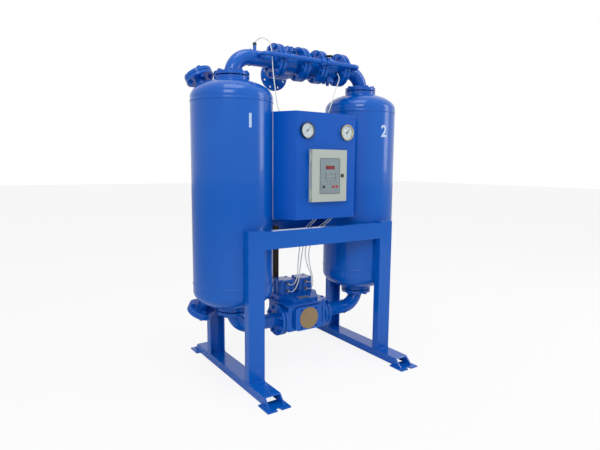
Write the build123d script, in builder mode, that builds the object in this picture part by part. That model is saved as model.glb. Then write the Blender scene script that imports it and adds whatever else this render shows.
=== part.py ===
from build123d import *
import math
import os

os.makedirs("parts", exist_ok=True)

# All sizes are in mm. X runs to the right, Y to the back and Z up.
# The origin is on the floor, midway between the two towers.

# clearances
seat_gap = 0.2
slide_gap = 0.3
running_gap = 0.05

# frame of channel steel
tower_x = 475.0
channel_width = 100.0
channel_depth = 48.0
channel_web = 5.3
channel_flange = 8.5
post_face_y = 286.0
beam_top_z = 900.0
beam_bottom_z = beam_top_z - channel_width
cap_thick = 6.0

# base rails with their foot plates
foot_thick = 8.0
foot_width = 140.0
foot_inner_y = 425.0
foot_outer_y = 530.0
foot_slot_width = 25.0
foot_slot_depth = 27.0
rail_half = 500.0
rail_bevel = 46.0
rail_top_z = foot_thick + channel_depth

# saddles between the posts and the towers
saddle_height = 80.0
saddle_upper_z = 840.0
saddle_lower_z = 628.0
saddle_bite = 8.0

# towers
vessel_r = 233.0
vessel_wall = 6.0
head_rise = 105.0
head_skirt = 22.0
head_low_skirt = 47.0
seam_low_z = 577.0
seam_high_z = 1610.0
bead_height = 2.5
bead_half_width = 7.0
plate_z = 590.0
plate_thick = 6.0
plate_hole_r = 38.0
plate_hole_ring_r = 140.0
bed_top_z = 1590.0
bed_gap = 0.5

# DN80 pipe and flanges
pipe_r = 44.5
bore_r = 39.5
flange_r = 100.0
flange_thick = 20.0
raised_face = 2.0
raised_r = 69.0
elbow_r = 114.0
bolt_ring_r = 80.0
bolt_count = 8
bolt_start = 22.5
bolt_hole_r = 9.0
gasket_thick = 3.0
gasket_in_r = 45.0
gasket_out_r = 71.0

# hexagon heads and nuts
hex_r = 13.9
hex_height = 10.0
small_hex_r = 8.0
small_hex_height = 6.0

# tower ports
port_top_z = 1750.0
port_top_back_z = 1722.0
port_bottom_z = 412.5
port_bottom_back_z = 434.0

# DN50 fill and drain nozzles
nozzle_r = 30.0
nozzle_bore_r = 25.0
nozzle_flange_r = 82.5
nozzle_flange_thick = 18.0
nozzle_bolt_ring_r = 62.5
nozzle_bolt_count = 4
nozzle_gasket_in_r = 30.0
nozzle_gasket_out_r = 53.0
nozzle_azimuth = 124.0
nozzle_lean = 28.0
fill_rho = 180.0
fill_length = 75.5
drain_rho = 181.4
drain_length = 101.3

# top line
top_axis_z = 1871.0
joint_left_x = -190.0
joint_tee_left_x = -20.0
joint_tee_right_x = 113.0
joint_right_x = 283.0
outlet_face_y = 425.0

# check valves
check_barrel_r = 62.0
check_waist_r = 50.0
check_barrel_half = 30.0
check_chamber_r = 52.0
check_seat_r = 30.0
check_seat_at = -26.0
check_seat_thick = 8.0
check_chamber_end = 36.0
check_disc_r = 36.0
check_disc_thick = 6.0
check_travel = 15.0
check_stem_r = 5.0
check_hub_r = 9.0
check_hub_from = 44.0
check_hub_to = 54.0
check_rib = 5.0
bonnet_r = 36.0
bonnet_bore_r = 24.0
bonnet_flange_r = 42.0
bonnet_flange_from = 62.0
bonnet_face = 74.0
bonnet_cap_thick = 12.0
bonnet_screw_ring_r = 28.0
bonnet_screw_count = 6
bonnet_boss_r = 10.0

# purge line
purge_r = 13.5
purge_bore_r = 9.0
purge_rise = 9.0
purge_z = top_axis_z + purge_rise
purge_y = -118.0
purge_bend_r = 34.0
purge_root_y = -30.0
purge_root_left_x = -327.0
purge_root_right_x = 358.0
union_from_x = 58.0
union_to_x = 88.0
union_hex_r = 22.0
needle_x = 121.0
needle_body_r = 16.0
needle_half = 20.0
needle_end_x = 150.0
needle_bonnet_r = 11.0
needle_bonnet_top = 26.0
stem_r = 4.0
wheel_r = 20.0
wheel_rim_r = 3.0
wheel_rise = 39.0

# sensor fittings on the top line
tap_x = -328.0
tap_r = 10.0
tap_rise = 86.0
tap_top_z = top_axis_z + tap_rise
side_tap_x = 228.0
side_tap_r = 8.0
side_tap_reach = 72.0
side_tap_drop = 30.0
tube_r = 3.0

# bottom line and inlet valve
bottom_axis_z = 291.0
valve_half = 144.0
valve_flange_to = 164.0
valve_front_y = -90.0
valve_back_y = 150.0
valve_bottom_z = 225.0
valve_top_z = 392.0
inlet_face_y = -107.0
inlet_plate_half = 100.0
inlet_plate_top_z = 375.0
inlet_plate_corner = 23.0
inlet_port_z = 300.0
inlet_tap_r = 7.0
inlet_tap_depth = 22.0
inlet_bolt_half = 56.6
slot_x = 113.0
slot_width = 12.0
slot_low_z = 250.0
slot_high_z = 360.0
slot_cut = 10.0
chamber_in_x = 33.0
chamber_out_x = 132.0
chamber_low_z = 240.0
chamber_high_z = 340.0
gallery_low_z = 350.0
gallery_high_z = 384.0
plenum_half = 24.0
wall_back = 12.0

# valve cover
cover_over_x = 167.0
cover_plate_top_z = 397.0
platform_front_y = -65.0
platform_front_z = 415.0
platform_rise_y = 26.0
platform_z = 431.0
platform_front_half = 96.0
screw_row_y = -97.0
screw_pitch = 77.0
side_screw_count = 3
side_screw_front_y = -25.0
side_screw_pitch = 77.0
side_screw_edge = 9.0

# actuators and pistons
actuator_x = 69.0
actuator_y = 86.0
actuator_r = 52.0
lobe_offset = 40.0
lobe_r = 13.5
actuator_cap_z = 513.0
actuator_top_z = 525.0
actuator_cap_corner = 16.0
actuator_floor = 10.0
piston_r = 48.0
piston_thick = 14.0
piston_stem_r = 8.0
valve_disc_r = 34.0
valve_disc_thick = 12.0
valve_seat_r = 28.0
valve_travel = 20.0
fitting_r = 7.0
fitting_length = 16.0
fitting_high_z = 503.0
fitting_low_z = 457.0
fitting_offset_left = -11.0
fitting_offset_right = -9.0
rib_half = 12.0
rib_reach = 58.0

# exhaust pipe and silencer
exhaust_x = -67.0
exhaust_y = 198.0
exhaust_z = 300.0
exhaust_r = 17.0
exhaust_bore_r = 13.0
exhaust_bend_r = 28.0
silencer_from_z = 450.0
silencer_to_z = 860.0
silencer_r = 22.0
silencer_hex_r = 24.0
silencer_hex_height = 20.0

# control cover
cover_half = 212.5
cover_front_y = -268.0
cover_low_z = 950.0
cover_high_z = 1561.0
cover_sheet = 2.0
flare_angle = 30.0

# cabinet in the control cover
cabinet_half = 125.0
cabinet_low_z = 1052.0
cabinet_high_z = 1351.0
cabinet_back_y = -150.0
cabinet_mouth_y = -288.0
cabinet_sheet = 1.5
cabinet_lip = 9.0
cutout_gap = 0.3
door_front_y = -300.0
door_gap = 0.5
door_rim = 10.0
hinge_r = 4.0
hinge_pin_r = 2.0
hinge_offset = 4.6
hinge_length = 60.0
hinge_low_z = 1100.0
hinge_high_z = 1303.0

# keypad, display, buttons and lock
panel_left_x = -71.0
panel_right_x = 74.0
panel_low_z = 1097.0
panel_high_z = 1302.0
panel_corner = 12.0
panel_thick = 1.5
display_left_x = -30.0
display_right_x = 33.0
display_low_z = 1239.0
display_high_z = 1259.0
display_thick = 1.0
button_r = 7.0
button_z = 1138.0
button_xs = (-44.0, 25.0, 51.0)
button_stand = 5.0
button_travel = 3.5
button_collar_r = 10.0
button_collar = 1.5
lock_x = 92.0
lock_z = 1202.0
lock_r = 8.0
lock_head_r = 11.0
lock_head = 3.0
lock_cam_length = 32.0
lock_cam_width = 10.0
lock_cam_thick = 3.0

# gauges
gauge_x = 142.0
gauge_z = 1455.0
gauge_r = 46.0
gauge_can_r = 42.0
gauge_stand = 15.0
gauge_depth = 35.0
gauge_lip = 5.0
gauge_glass_thick = 2.0
gauge_glass_back = 4.0
gauge_dial_back = 9.5
gauge_dial_thick = 1.0
pointer_back = 7.4
pointer_thick = 1.2
pointer_hub_r = 5.0
pointer_reach = 30.0
pointer_tail = 9.0
pointer_pin_r = 1.5
gauge_stem_r = 7.0
gauge_stem_to_y = -222.0

# pilot valves on the inside of the control cover
pilot_x = 60.0
pilot_z = 1012.0
pilot_width = 44.0
pilot_depth = 34.0
pilot_height = 46.0


def flange(face, outer_r=flange_r, thick=flange_thick, face_r=raised_r, step=raised_face):
    """Pipe flange: its sealing face lies on the plane and its back away from the normal."""
    with BuildPart() as made:
        with BuildSketch(face):
            Circle(face_r)
        extrude(amount=-thick)
        with BuildSketch(face.offset(-step)):
            Circle(outer_r)
        extrude(amount=step - thick)
    return made.part


def ring(face, inner_r, outer_r, thick):
    """Flat ring standing on the plane."""
    with BuildPart() as made:
        with BuildSketch(face):
            Circle(outer_r)
            Circle(inner_r, mode=Mode.SUBTRACT)
        extrude(amount=thick)
    return made.part


def disc(face, radius, thick):
    """Round bar standing on the plane."""
    with BuildPart() as made:
        with BuildSketch(face):
            Circle(radius)
        extrude(amount=thick)
    return made.part


def block(low, high):
    """Square block between two corners."""
    size = [b - a for a, b in zip(low, high)]
    middle = tuple((a + b) / 2 for a, b in zip(low, high))
    with BuildPart() as made:
        with Locations(middle):
            Box(*size)
    return made.part


def hexagons(face, ring_r, count, start, corner_r, height):
    """Circle of hexagon heads or nuts standing on the plane."""
    with BuildPart() as made:
        with BuildSketch(face):
            with PolarLocations(ring_r, count, start_angle=start):
                RegularPolygon(corner_r, 6)
        extrude(amount=height)
    return made.part


def hexagons_at(face, places, corner_r, height):
    """Hexagon heads at the given places on the plane."""
    with BuildPart() as made:
        with BuildSketch(face):
            with Locations(*places):
                RegularPolygon(corner_r, 6)
        extrude(amount=height)
    return made.part


def bolt_places(ring_r, count, start):
    """Centres of bolts on a circle."""
    turns = [math.radians(start + 360 * i / count) for i in range(count)]
    return [(ring_r * math.cos(turn), ring_r * math.sin(turn)) for turn in turns]


def bar(route, bend_r, radius, start_dir):
    """Round bar bent along a route, with one radius at every bend."""
    with BuildPart() as made:
        with BuildLine() as path:
            FilletPolyline(*route, radius=bend_r)
        with BuildSketch(Plane(route[0], z_dir=start_dir)):
            Circle(radius)
        sweep(path=path.wire())
    return made.part


def across(x, z=top_axis_z, y=0.0, side=1):
    """Plane across a line that runs along X, facing right for side 1 and left for side -1."""
    return Plane((x, y, z), x_dir=(0, side, 0), z_dir=(side, 0, 0))


def level(x, y, z, side=1):
    """Level plane, facing up for side 1 and down for side -1."""
    return Plane((x, y, z), x_dir=(1, 0, 0), z_dir=(0, 0, side))


def facing(x, y, z, side=-1):
    """Upright plane facing the front for side -1 and the back for side 1."""
    return Plane((x, y, z), x_dir=(-side, 0, 0), z_dir=(0, side, 0))


def nozzle_plane(head_z, side, rho, along):
    """Plane across a slanted nozzle of the left tower, at a distance along its axis from the head.

    The head bulges up from head_z for side 1 and down for side -1.
    """
    turn = math.radians(nozzle_azimuth)
    lean = math.radians(nozzle_lean)
    out = Vector(math.cos(turn), math.sin(turn), 0)
    axis = out * math.sin(lean) + Vector(0, 0, side * math.cos(lean))
    foot_z = head_z + side * head_rise * math.sqrt(1 - (rho / vessel_r) ** 2)
    foot = Vector(-tower_x, 0, foot_z) + out * rho
    return Plane(foot + axis * along, x_dir=(-out.Y, out.X, 0), z_dir=axis)


# base rails, each an upturned channel on two foot plates
foot_middle_y = (foot_inner_y + foot_outer_y) / 2
slot_round_y = foot_outer_y - foot_slot_depth + foot_slot_width / 2
rail_side = Plane((-tower_x, 0, 0), x_dir=(0, 1, 0), z_dir=(1, 0, 0))

with BuildPart() as base_rail_left:
    with BuildSketch(rail_side):
        with BuildLine():
            Polyline(
                (-rail_half, foot_thick),
                (rail_half, foot_thick),
                (rail_half - rail_bevel, rail_top_z),
                (rail_bevel - rail_half, rail_top_z),
                close=True,
            )
        make_face()
    extrude(amount=channel_width / 2, both=True)
    with BuildSketch(rail_side):
        with Locations((0, foot_thick + (channel_depth - channel_web) / 2)):
            Rectangle(2 * foot_outer_y, channel_depth - channel_web)
    extrude(amount=channel_width / 2 - channel_flange, both=True, mode=Mode.SUBTRACT)
    with BuildSketch(level(-tower_x, 0, 0)):
        with Locations((0, foot_middle_y), (0, -foot_middle_y)):
            Rectangle(foot_width, foot_outer_y - foot_inner_y)
        for way in (1, -1):
            with Locations((0, way * slot_round_y)):
                Circle(foot_slot_width / 2, mode=Mode.SUBTRACT)
            with Locations((0, way * (slot_round_y + foot_outer_y) / 2)):
                Rectangle(foot_slot_width, foot_outer_y - slot_round_y, mode=Mode.SUBTRACT)
    extrude(amount=foot_thick)
base_rail_left.part.label = "base_rail_left"
export_step(base_rail_left.part, "parts/base_rail_left.step")

with BuildPart() as base_rail_right:
    mirror(base_rail_left.part, about=Plane.YZ)
base_rail_right.part.label = "base_rail_right"
export_step(base_rail_right.part, "parts/base_rail_right.step")

# posts, each a channel with its web outwards and two saddles welded to its flanges
post_in_x = -tower_x + channel_width / 2
post_out_x = -tower_x - channel_width / 2
post_back_y = -post_face_y + channel_depth
shell_cut = disc(level(-tower_x, 0, 0), vessel_r + seat_gap, beam_top_z)

with BuildPart() as post_front_left:
    with BuildSketch(level(-tower_x, -post_face_y + channel_depth / 2, rail_top_z)):
        Rectangle(channel_width, channel_depth)
        with Locations((0, channel_web)):
            Rectangle(channel_width - 2 * channel_flange, channel_depth, mode=Mode.SUBTRACT)
    extrude(amount=beam_top_z - rail_top_z)
    with BuildSketch(facing(0, -post_face_y, 0)):
        with BuildLine():
            Polyline(
                (post_in_x, beam_bottom_z),
                (post_out_x, beam_top_z),
                (post_in_x, beam_top_z),
                close=True,
            )
        make_face()
    extrude(amount=-channel_depth, mode=Mode.SUBTRACT)
    for middle_z in (saddle_upper_z, saddle_lower_z):
        with Locations((-tower_x, post_back_y + saddle_bite, middle_z)):
            Box(channel_width, 2 * saddle_bite, saddle_height)
    add(shell_cut, mode=Mode.SUBTRACT)
post_front_left.part.label = "post_front_left"
export_step(post_front_left.part, "parts/post_front_left.step")

with BuildPart() as post_front_right:
    mirror(post_front_left.part, about=Plane.YZ)
post_front_right.part.label = "post_front_right"
export_step(post_front_right.part, "parts/post_front_right.step")

with BuildPart() as post_rear_left:
    mirror(post_front_left.part, about=Plane.XZ)
post_rear_left.part.label = "post_rear_left"
export_step(post_rear_left.part, "parts/post_rear_left.step")

with BuildPart() as post_rear_right:
    mirror(post_front_right.part, about=Plane.XZ)
post_rear_right.part.label = "post_rear_right"
export_step(post_rear_right.part, "parts/post_rear_right.step")

# beams, mitred to the posts, each with a cap plate on both ends
beam_side = Plane((0, 0, 0), x_dir=(0, 1, 0), z_dir=(1, 0, 0))
beam_middle_z = (beam_top_z + beam_bottom_z) / 2

with BuildPart() as beam_front:
    with BuildSketch(beam_side):
        with Locations((-post_face_y + channel_depth / 2, beam_middle_z)):
            Rectangle(channel_depth, channel_width)
        with Locations((-post_face_y + channel_depth / 2 + channel_web, beam_middle_z)):
            Rectangle(channel_depth, channel_width - 2 * channel_flange, mode=Mode.SUBTRACT)
    extrude(amount=tower_x + channel_width / 2, both=True)
    with BuildSketch(facing(0, -post_face_y, 0)):
        for way in (1, -1):
            with BuildLine():
                Polyline(
                    (way * (tower_x - channel_width / 2), beam_bottom_z),
                    (way * (tower_x + channel_width / 2), beam_top_z),
                    (way * (tower_x + channel_width / 2), beam_bottom_z),
                    close=True,
                )
            make_face()
    extrude(amount=-channel_depth, mode=Mode.SUBTRACT)
    for end_x in (-tower_x, tower_x):
        with Locations((end_x, -post_face_y + channel_depth / 2, beam_top_z + cap_thick / 2)):
            Box(channel_width, channel_depth, cap_thick)
beam_front.part.label = "beam_front"
export_step(beam_front.part, "parts/beam_front.step")

with BuildPart() as beam_rear:
    mirror(beam_front.part, about=Plane.XZ)
beam_rear.part.label = "beam_rear"
export_step(beam_rear.part, "parts/beam_rear.step")

# towers, welded from a shell and two dished heads
head_low_z = seam_low_z - head_low_skirt
head_high_z = seam_high_z + head_skirt
shell_middle_z = (head_low_z + head_high_z) / 2
inner_r = vessel_r - vessel_wall
tower_section = Plane((-tower_x, 0, 0), x_dir=(1, 0, 0), z_dir=(0, -1, 0))
tower_axis = Axis((-tower_x, 0, 0), (0, 0, 1))
fill_way = (head_high_z, 1, fill_rho)
drain_way = (head_low_z, -1, drain_rho)
nozzles = ((fill_way, fill_length), (drain_way, drain_length))
top_port = flange(level(-tower_x, 0, port_top_z), thick=port_top_z - port_top_back_z)
bottom_port = flange(level(-tower_x, 0, port_bottom_z, -1), thick=port_bottom_back_z - port_bottom_z)
neck_length = head_low_z - head_rise + 12 - port_bottom_back_z
bottom_neck = disc(level(-tower_x, 0, port_bottom_back_z), pipe_r, neck_length)
port_bores = [
    disc(level(-tower_x, 0, head_high_z + head_rise - 25), bore_r, 60),
    disc(level(-tower_x, 0, port_bottom_z - 5), bore_r, head_low_z - head_rise + 25 - port_bottom_z),
]
necks = []
neck_bores = []
for way, length in nozzles:
    seal = length - gasket_thick / 2
    necks.append(disc(nozzle_plane(*way, -15), nozzle_r, seal + 15 - nozzle_flange_thick / 2))
    necks.append(disc(nozzle_plane(*way, seal - nozzle_flange_thick), nozzle_flange_r, nozzle_flange_thick))
    neck_bores.append(disc(nozzle_plane(*way, -40), nozzle_bore_r, seal + 45))

with BuildPart() as vessel_left:
    with BuildSketch(tower_section):
        with Locations((0, head_high_z), (0, head_low_z)):
            Ellipse(vessel_r, head_rise)
        with Locations((0, shell_middle_z)):
            Rectangle(2 * vessel_r, head_high_z - head_low_z)
        with Locations((vessel_r, seam_low_z), (vessel_r, seam_high_z)):
            Ellipse(bead_height, bead_half_width)
        with Locations((0, head_high_z), (0, head_low_z)):
            Ellipse(inner_r, head_rise - vessel_wall, mode=Mode.SUBTRACT)
        with Locations((0, shell_middle_z)):
            Rectangle(2 * inner_r, head_high_z - head_low_z, mode=Mode.SUBTRACT)
        with Locations((-vessel_r, shell_middle_z)):
            Rectangle(2 * vessel_r, 2 * port_top_z, mode=Mode.SUBTRACT)
    revolve(axis=tower_axis)
    add(top_port)
    add(bottom_port)
    add(bottom_neck)
    add(necks)
    with BuildSketch(level(-tower_x, 0, plate_z)):
        Circle(inner_r + vessel_wall / 2)
        with PolarLocations(plate_hole_ring_r, 6):
            Circle(plate_hole_r, mode=Mode.SUBTRACT)
    extrude(amount=plate_thick)
    add(port_bores, mode=Mode.SUBTRACT)
    add(neck_bores, mode=Mode.SUBTRACT)
vessel_left.part.label = "vessel_left"
export_step(vessel_left.part, "parts/vessel_left.step")

with BuildPart() as vessel_right:
    mirror(vessel_left.part, about=Plane.YZ)
vessel_right.part.label = "vessel_right"
export_step(vessel_right.part, "parts/vessel_right.step")

# drying beds on the support plates
bed_low_z = plate_z + plate_thick
with BuildPart() as desiccant_bed_left:
    with BuildSketch(level(-tower_x, 0, bed_low_z)):
        Circle(inner_r - bed_gap)
    extrude(amount=bed_top_z - bed_low_z)
desiccant_bed_left.part.label = "desiccant_bed_left"
export_step(desiccant_bed_left.part, "parts/desiccant_bed_left.step")

with BuildPart() as desiccant_bed_right:
    mirror(desiccant_bed_left.part, about=Plane.YZ)
desiccant_bed_right.part.label = "desiccant_bed_right"
export_step(desiccant_bed_right.part, "parts/desiccant_bed_right.step")

# blind covers on the fill and drain nozzles
fill_seat = nozzle_plane(*fill_way, fill_length + gasket_thick / 2)
drain_seat = nozzle_plane(*drain_way, drain_length + gasket_thick / 2)
fill_cover = disc(fill_seat, nozzle_flange_r, nozzle_flange_thick)
drain_cover = disc(drain_seat, nozzle_flange_r, nozzle_flange_thick)

with BuildPart() as fill_covers:
    add(fill_cover)
    mirror(fill_cover, about=Plane.YZ)
fill_covers.part.label = "fill_covers"
export_step(fill_covers.part, "parts/fill_covers.step")

with BuildPart() as drain_covers:
    add(drain_cover)
    mirror(drain_cover, about=Plane.YZ)
drain_covers.part.label = "drain_covers"
export_step(drain_covers.part, "parts/drain_covers.step")

# gaskets in every flanged joint
half_gasket = gasket_thick / 2
inlet_seal_x = valve_flange_to + half_gasket
line_joints = (joint_left_x, joint_tee_left_x, joint_tee_right_x, joint_right_x)
left_gaskets = [
    ring(level(-tower_x, 0, port_top_z), gasket_in_r, gasket_out_r, gasket_thick),
    ring(level(-tower_x, 0, port_bottom_z, -1), gasket_in_r, gasket_out_r, gasket_thick),
    ring(across(-valve_flange_to - gasket_thick, bottom_axis_z), gasket_in_r, gasket_out_r, gasket_thick),
]
for way, length in nozzles:
    seal_plane = nozzle_plane(*way, length - half_gasket)
    left_gaskets.append(ring(seal_plane, nozzle_gasket_in_r, nozzle_gasket_out_r, gasket_thick))
line_gaskets = [ring(across(x - half_gasket), gasket_in_r, gasket_out_r, gasket_thick) for x in line_joints]

with BuildPart() as gaskets:
    add(left_gaskets)
    mirror(left_gaskets, about=Plane.YZ)
    add(line_gaskets)
gaskets.part.label = "gaskets"
export_step(gaskets.part, "parts/gaskets.step")

# bolts of the tower ports and nozzles: heads on one side, nuts on the other
top_pipe_face_z = port_top_z + gasket_thick
bottom_pipe_face_z = port_bottom_z - gasket_thick
left_bolts = [
    hexagons(level(-tower_x, 0, top_pipe_face_z + flange_thick), bolt_ring_r, bolt_count, bolt_start,
             hex_r, hex_height),
    hexagons(level(-tower_x, 0, bottom_pipe_face_z - flange_thick, -1), bolt_ring_r, bolt_count, bolt_start,
             hex_r, hex_height),
]
for way, length in nozzles:
    outside = length + half_gasket + nozzle_flange_thick
    inside = nozzle_plane(*way, length - half_gasket - nozzle_flange_thick - hex_height)
    left_bolts.append(hexagons(nozzle_plane(*way, outside), nozzle_bolt_ring_r, nozzle_bolt_count, 45,
                               hex_r, hex_height))
    left_bolts.append(hexagons(inside, nozzle_bolt_ring_r, nozzle_bolt_count, 45, hex_r, hex_height))

with BuildPart() as vessel_bolts:
    add(left_bolts)
    mirror(left_bolts, about=Plane.YZ)
vessel_bolts.part.label = "vessel_bolts"
export_step(vessel_bolts.part, "parts/vessel_bolts.step")

# bolts of the pipe lines, of the check valve caps and of the inlet valve cover
pair_half = half_gasket + flange_thick
line_hexes = []
all_places = bolt_places(bolt_ring_r, bolt_count, bolt_start)
branch_half = pipe_r + hex_r
tee_places = [place for place in all_places if place[0] < 0 or abs(place[1]) > branch_half]
for x, left_places, right_places in (
    (joint_left_x, all_places, all_places),
    (joint_tee_left_x, all_places, tee_places),
    (joint_tee_right_x, tee_places, all_places),
    (joint_right_x, all_places, all_places),
):
    line_hexes.append(hexagons_at(across(x - pair_half - hex_height), left_places, hex_r, hex_height))
    line_hexes.append(hexagons_at(across(x + pair_half), right_places, hex_r, hex_height))
for way in (1, -1):
    outside = across(way * (inlet_seal_x + pair_half), bottom_axis_z, 0, way)
    line_hexes.append(hexagons(outside, bolt_ring_r, bolt_count, bolt_start, hex_r, hex_height))
screw_places = []
for step in (-1.5, -0.5, 0.5, 1.5):
    screw_places.append((step * screw_pitch, screw_row_y))
for way in (1, -1):
    for step in range(side_screw_count):
        screw_places.append((way * (cover_over_x - side_screw_edge), side_screw_front_y + step * side_screw_pitch))
line_hexes.append(hexagons_at(level(0, 0, cover_plate_top_z), screw_places, small_hex_r, small_hex_height))
cap_top = bonnet_face + bonnet_cap_thick
check_left_x = (joint_left_x + joint_tee_left_x) / 2
check_right_x = (joint_tee_right_x + joint_right_x) / 2
left_cap = level(check_left_x, 0, top_axis_z + cap_top)
right_cap = level(check_right_x, 0, top_axis_z - cap_top, -1)
for cap in (left_cap, right_cap):
    line_hexes.append(hexagons(cap, bonnet_screw_ring_r, bonnet_screw_count, 0, small_hex_r, small_hex_height))

with BuildPart() as line_bolts:
    add(line_hexes)
line_bolts.part.label = "line_bolts"
export_step(line_bolts.part, "parts/line_bolts.step")

# outlet pipes from the tower tops, each with its end of the purge line
left_face_x = joint_left_x - half_gasket
right_face_x = joint_right_x + half_gasket
left_route = ((-tower_x, 0, top_pipe_face_z), (-tower_x, 0, top_axis_z), (left_face_x, 0, top_axis_z))
right_route = ((tower_x, 0, top_pipe_face_z), (tower_x, 0, top_axis_z), (right_face_x, 0, top_axis_z))
left_purge = (
    (purge_root_left_x, purge_root_y, purge_z),
    (purge_root_left_x, purge_y, purge_z),
    (union_from_x, purge_y, purge_z),
)
right_purge = (
    (purge_root_right_x, purge_root_y, purge_z),
    (purge_root_right_x, purge_y, purge_z),
    (needle_end_x, purge_y, purge_z),
)
left_parts = [
    bar(left_route, elbow_r, pipe_r, (0, 0, 1)),
    flange(level(-tower_x, 0, top_pipe_face_z, -1)),
    flange(across(left_face_x)),
    bar(left_purge, purge_bend_r, purge_r, (0, -1, 0)),
    disc(level(tap_x, 0, top_axis_z + pipe_r - 4), tap_r, tap_top_z - top_axis_z - pipe_r + 4),
]
right_parts = [
    bar(right_route, elbow_r, pipe_r, (0, 0, 1)),
    flange(level(tower_x, 0, top_pipe_face_z, -1)),
    flange(across(right_face_x, side=-1)),
    bar(right_purge, purge_bend_r, purge_r, (0, -1, 0)),
]
left_bore = bar(left_route, elbow_r, bore_r, (0, 0, 1))
right_bore = bar(right_route, elbow_r, bore_r, (0, 0, 1))
left_purge_bore = bar(left_purge, purge_bend_r, purge_bore_r, (0, -1, 0))
right_purge_bore = bar(right_purge, purge_bend_r, purge_bore_r, (0, -1, 0))
tap_bore = disc(level(tap_x, 0, top_axis_z), tube_r, tap_top_z - top_axis_z - 12)

with BuildPart() as outlet_pipe_left:
    add(left_parts)
    add(left_bore, mode=Mode.SUBTRACT)
    add(left_purge_bore, mode=Mode.SUBTRACT)
    add(tap_bore, mode=Mode.SUBTRACT)
outlet_pipe_left.part.label = "outlet_pipe_left"
export_step(outlet_pipe_left.part, "parts/outlet_pipe_left.step")

with BuildPart() as outlet_pipe_right:
    add(right_parts)
    add(right_bore, mode=Mode.SUBTRACT)
    add(right_purge_bore, mode=Mode.SUBTRACT)
outlet_pipe_right.part.label = "outlet_pipe_right"
export_step(outlet_pipe_right.part, "parts/outlet_pipe_right.step")


def check_body(centre_x, length, flow, rise):
    """Check valve body: flow is 1 or -1 along X, rise is 1 for a bonnet on top and -1 below."""
    half = length / 2
    flange_back = half - flange_thick
    seat_from = check_seat_at - check_seat_thick
    section = Plane((centre_x, 0, top_axis_z), x_dir=(flow, 0, 0), z_dir=(0, -flow, 0))
    up = level(centre_x, 0, top_axis_z, rise)
    hub_plane = across(centre_x + flow * check_hub_from, side=flow)
    hub_length = check_hub_to - check_hub_from
    with BuildPart() as made:
        with BuildSketch(section):
            with BuildLine():
                Polyline(
                    (-half, 0),
                    (-half, raised_r),
                    (raised_face - half, raised_r),
                    (raised_face - half, flange_r),
                    (-flange_back, flange_r),
                    (-flange_back, check_waist_r),
                    (-check_barrel_half, check_barrel_r),
                    (check_barrel_half, check_barrel_r),
                    (flange_back, check_waist_r),
                    (flange_back, flange_r),
                    (half - raised_face, flange_r),
                    (half - raised_face, raised_r),
                    (half, raised_r),
                    (half, 0),
                    close=True,
                )
            make_face()
        revolve(axis=Axis((centre_x, 0, top_axis_z), (1, 0, 0)))
        with BuildSketch(up):
            Circle(bonnet_r)
        extrude(amount=bonnet_face)
        with BuildSketch(up.offset(bonnet_flange_from)):
            Circle(bonnet_flange_r)
        extrude(amount=bonnet_face - bonnet_flange_from)
        with BuildSketch(section):
            with BuildLine():
                Polyline(
                    (-half, 0),
                    (-half, bore_r),
                    (seat_from, bore_r),
                    (seat_from, check_seat_r),
                    (check_seat_at, check_seat_r),
                    (check_seat_at, check_chamber_r),
                    (check_chamber_end, check_chamber_r),
                    (check_hub_to + 6, bore_r),
                    (half, bore_r),
                    (half, 0),
                    close=True,
                )
            make_face()
        revolve(axis=Axis((centre_x, 0, top_axis_z), (1, 0, 0)), mode=Mode.SUBTRACT)
        with BuildSketch(up):
            Circle(bonnet_bore_r)
        extrude(amount=bonnet_face, mode=Mode.SUBTRACT)
        with BuildSketch(hub_plane):
            Circle(check_hub_r)
            with PolarLocations(check_waist_r / 2, 3):
                Rectangle(check_waist_r - 4, check_rib)
        extrude(amount=hub_length)
        with BuildSketch(hub_plane):
            Circle(check_stem_r + running_gap)
        extrude(amount=hub_length, mode=Mode.SUBTRACT)
    return made.part


def check_poppet(centre_x, flow):
    """Disc on a stem: closed against its seat, it opens along the flow."""
    start = check_seat_at + seat_gap
    disc_plane = across(centre_x + flow * start, side=flow)
    with BuildPart() as made:
        with BuildSketch(disc_plane):
            Circle(check_disc_r)
        extrude(amount=check_disc_thick)
        with BuildSketch(disc_plane.offset(check_disc_thick)):
            Circle(2 * check_stem_r)
        extrude(amount=check_disc_thick)
        with BuildSketch(disc_plane):
            Circle(check_stem_r)
        extrude(amount=check_hub_to + 4 - start)
    return made.part


# check valves
check_left_length = joint_tee_left_x - joint_left_x - gasket_thick
check_right_length = joint_right_x - joint_tee_right_x - gasket_thick
left_check = check_body(check_left_x, check_left_length, 1, 1)
right_check = check_body(check_right_x, check_right_length, -1, -1)
drop = math.radians(side_tap_drop)
side_tap_way = (0, -math.cos(drop), -math.sin(drop))
side_tap_from = check_waist_r - 2
side_tap_foot = (
    side_tap_x,
    side_tap_way[1] * side_tap_from,
    top_axis_z + side_tap_way[2] * side_tap_from,
)
side_tap_plane = Plane(side_tap_foot, x_dir=(1, 0, 0), z_dir=side_tap_way)
side_tap = disc(side_tap_plane, side_tap_r, side_tap_reach - side_tap_from)

with BuildPart() as check_valve_body_left:
    add(left_check)
check_valve_body_left.part.label = "check_valve_body_left"
export_step(check_valve_body_left.part, "parts/check_valve_body_left.step")

with BuildPart() as check_valve_body_right:
    add(right_check)
    add(side_tap)
check_valve_body_right.part.label = "check_valve_body_right"
export_step(check_valve_body_right.part, "parts/check_valve_body_right.step")

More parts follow.
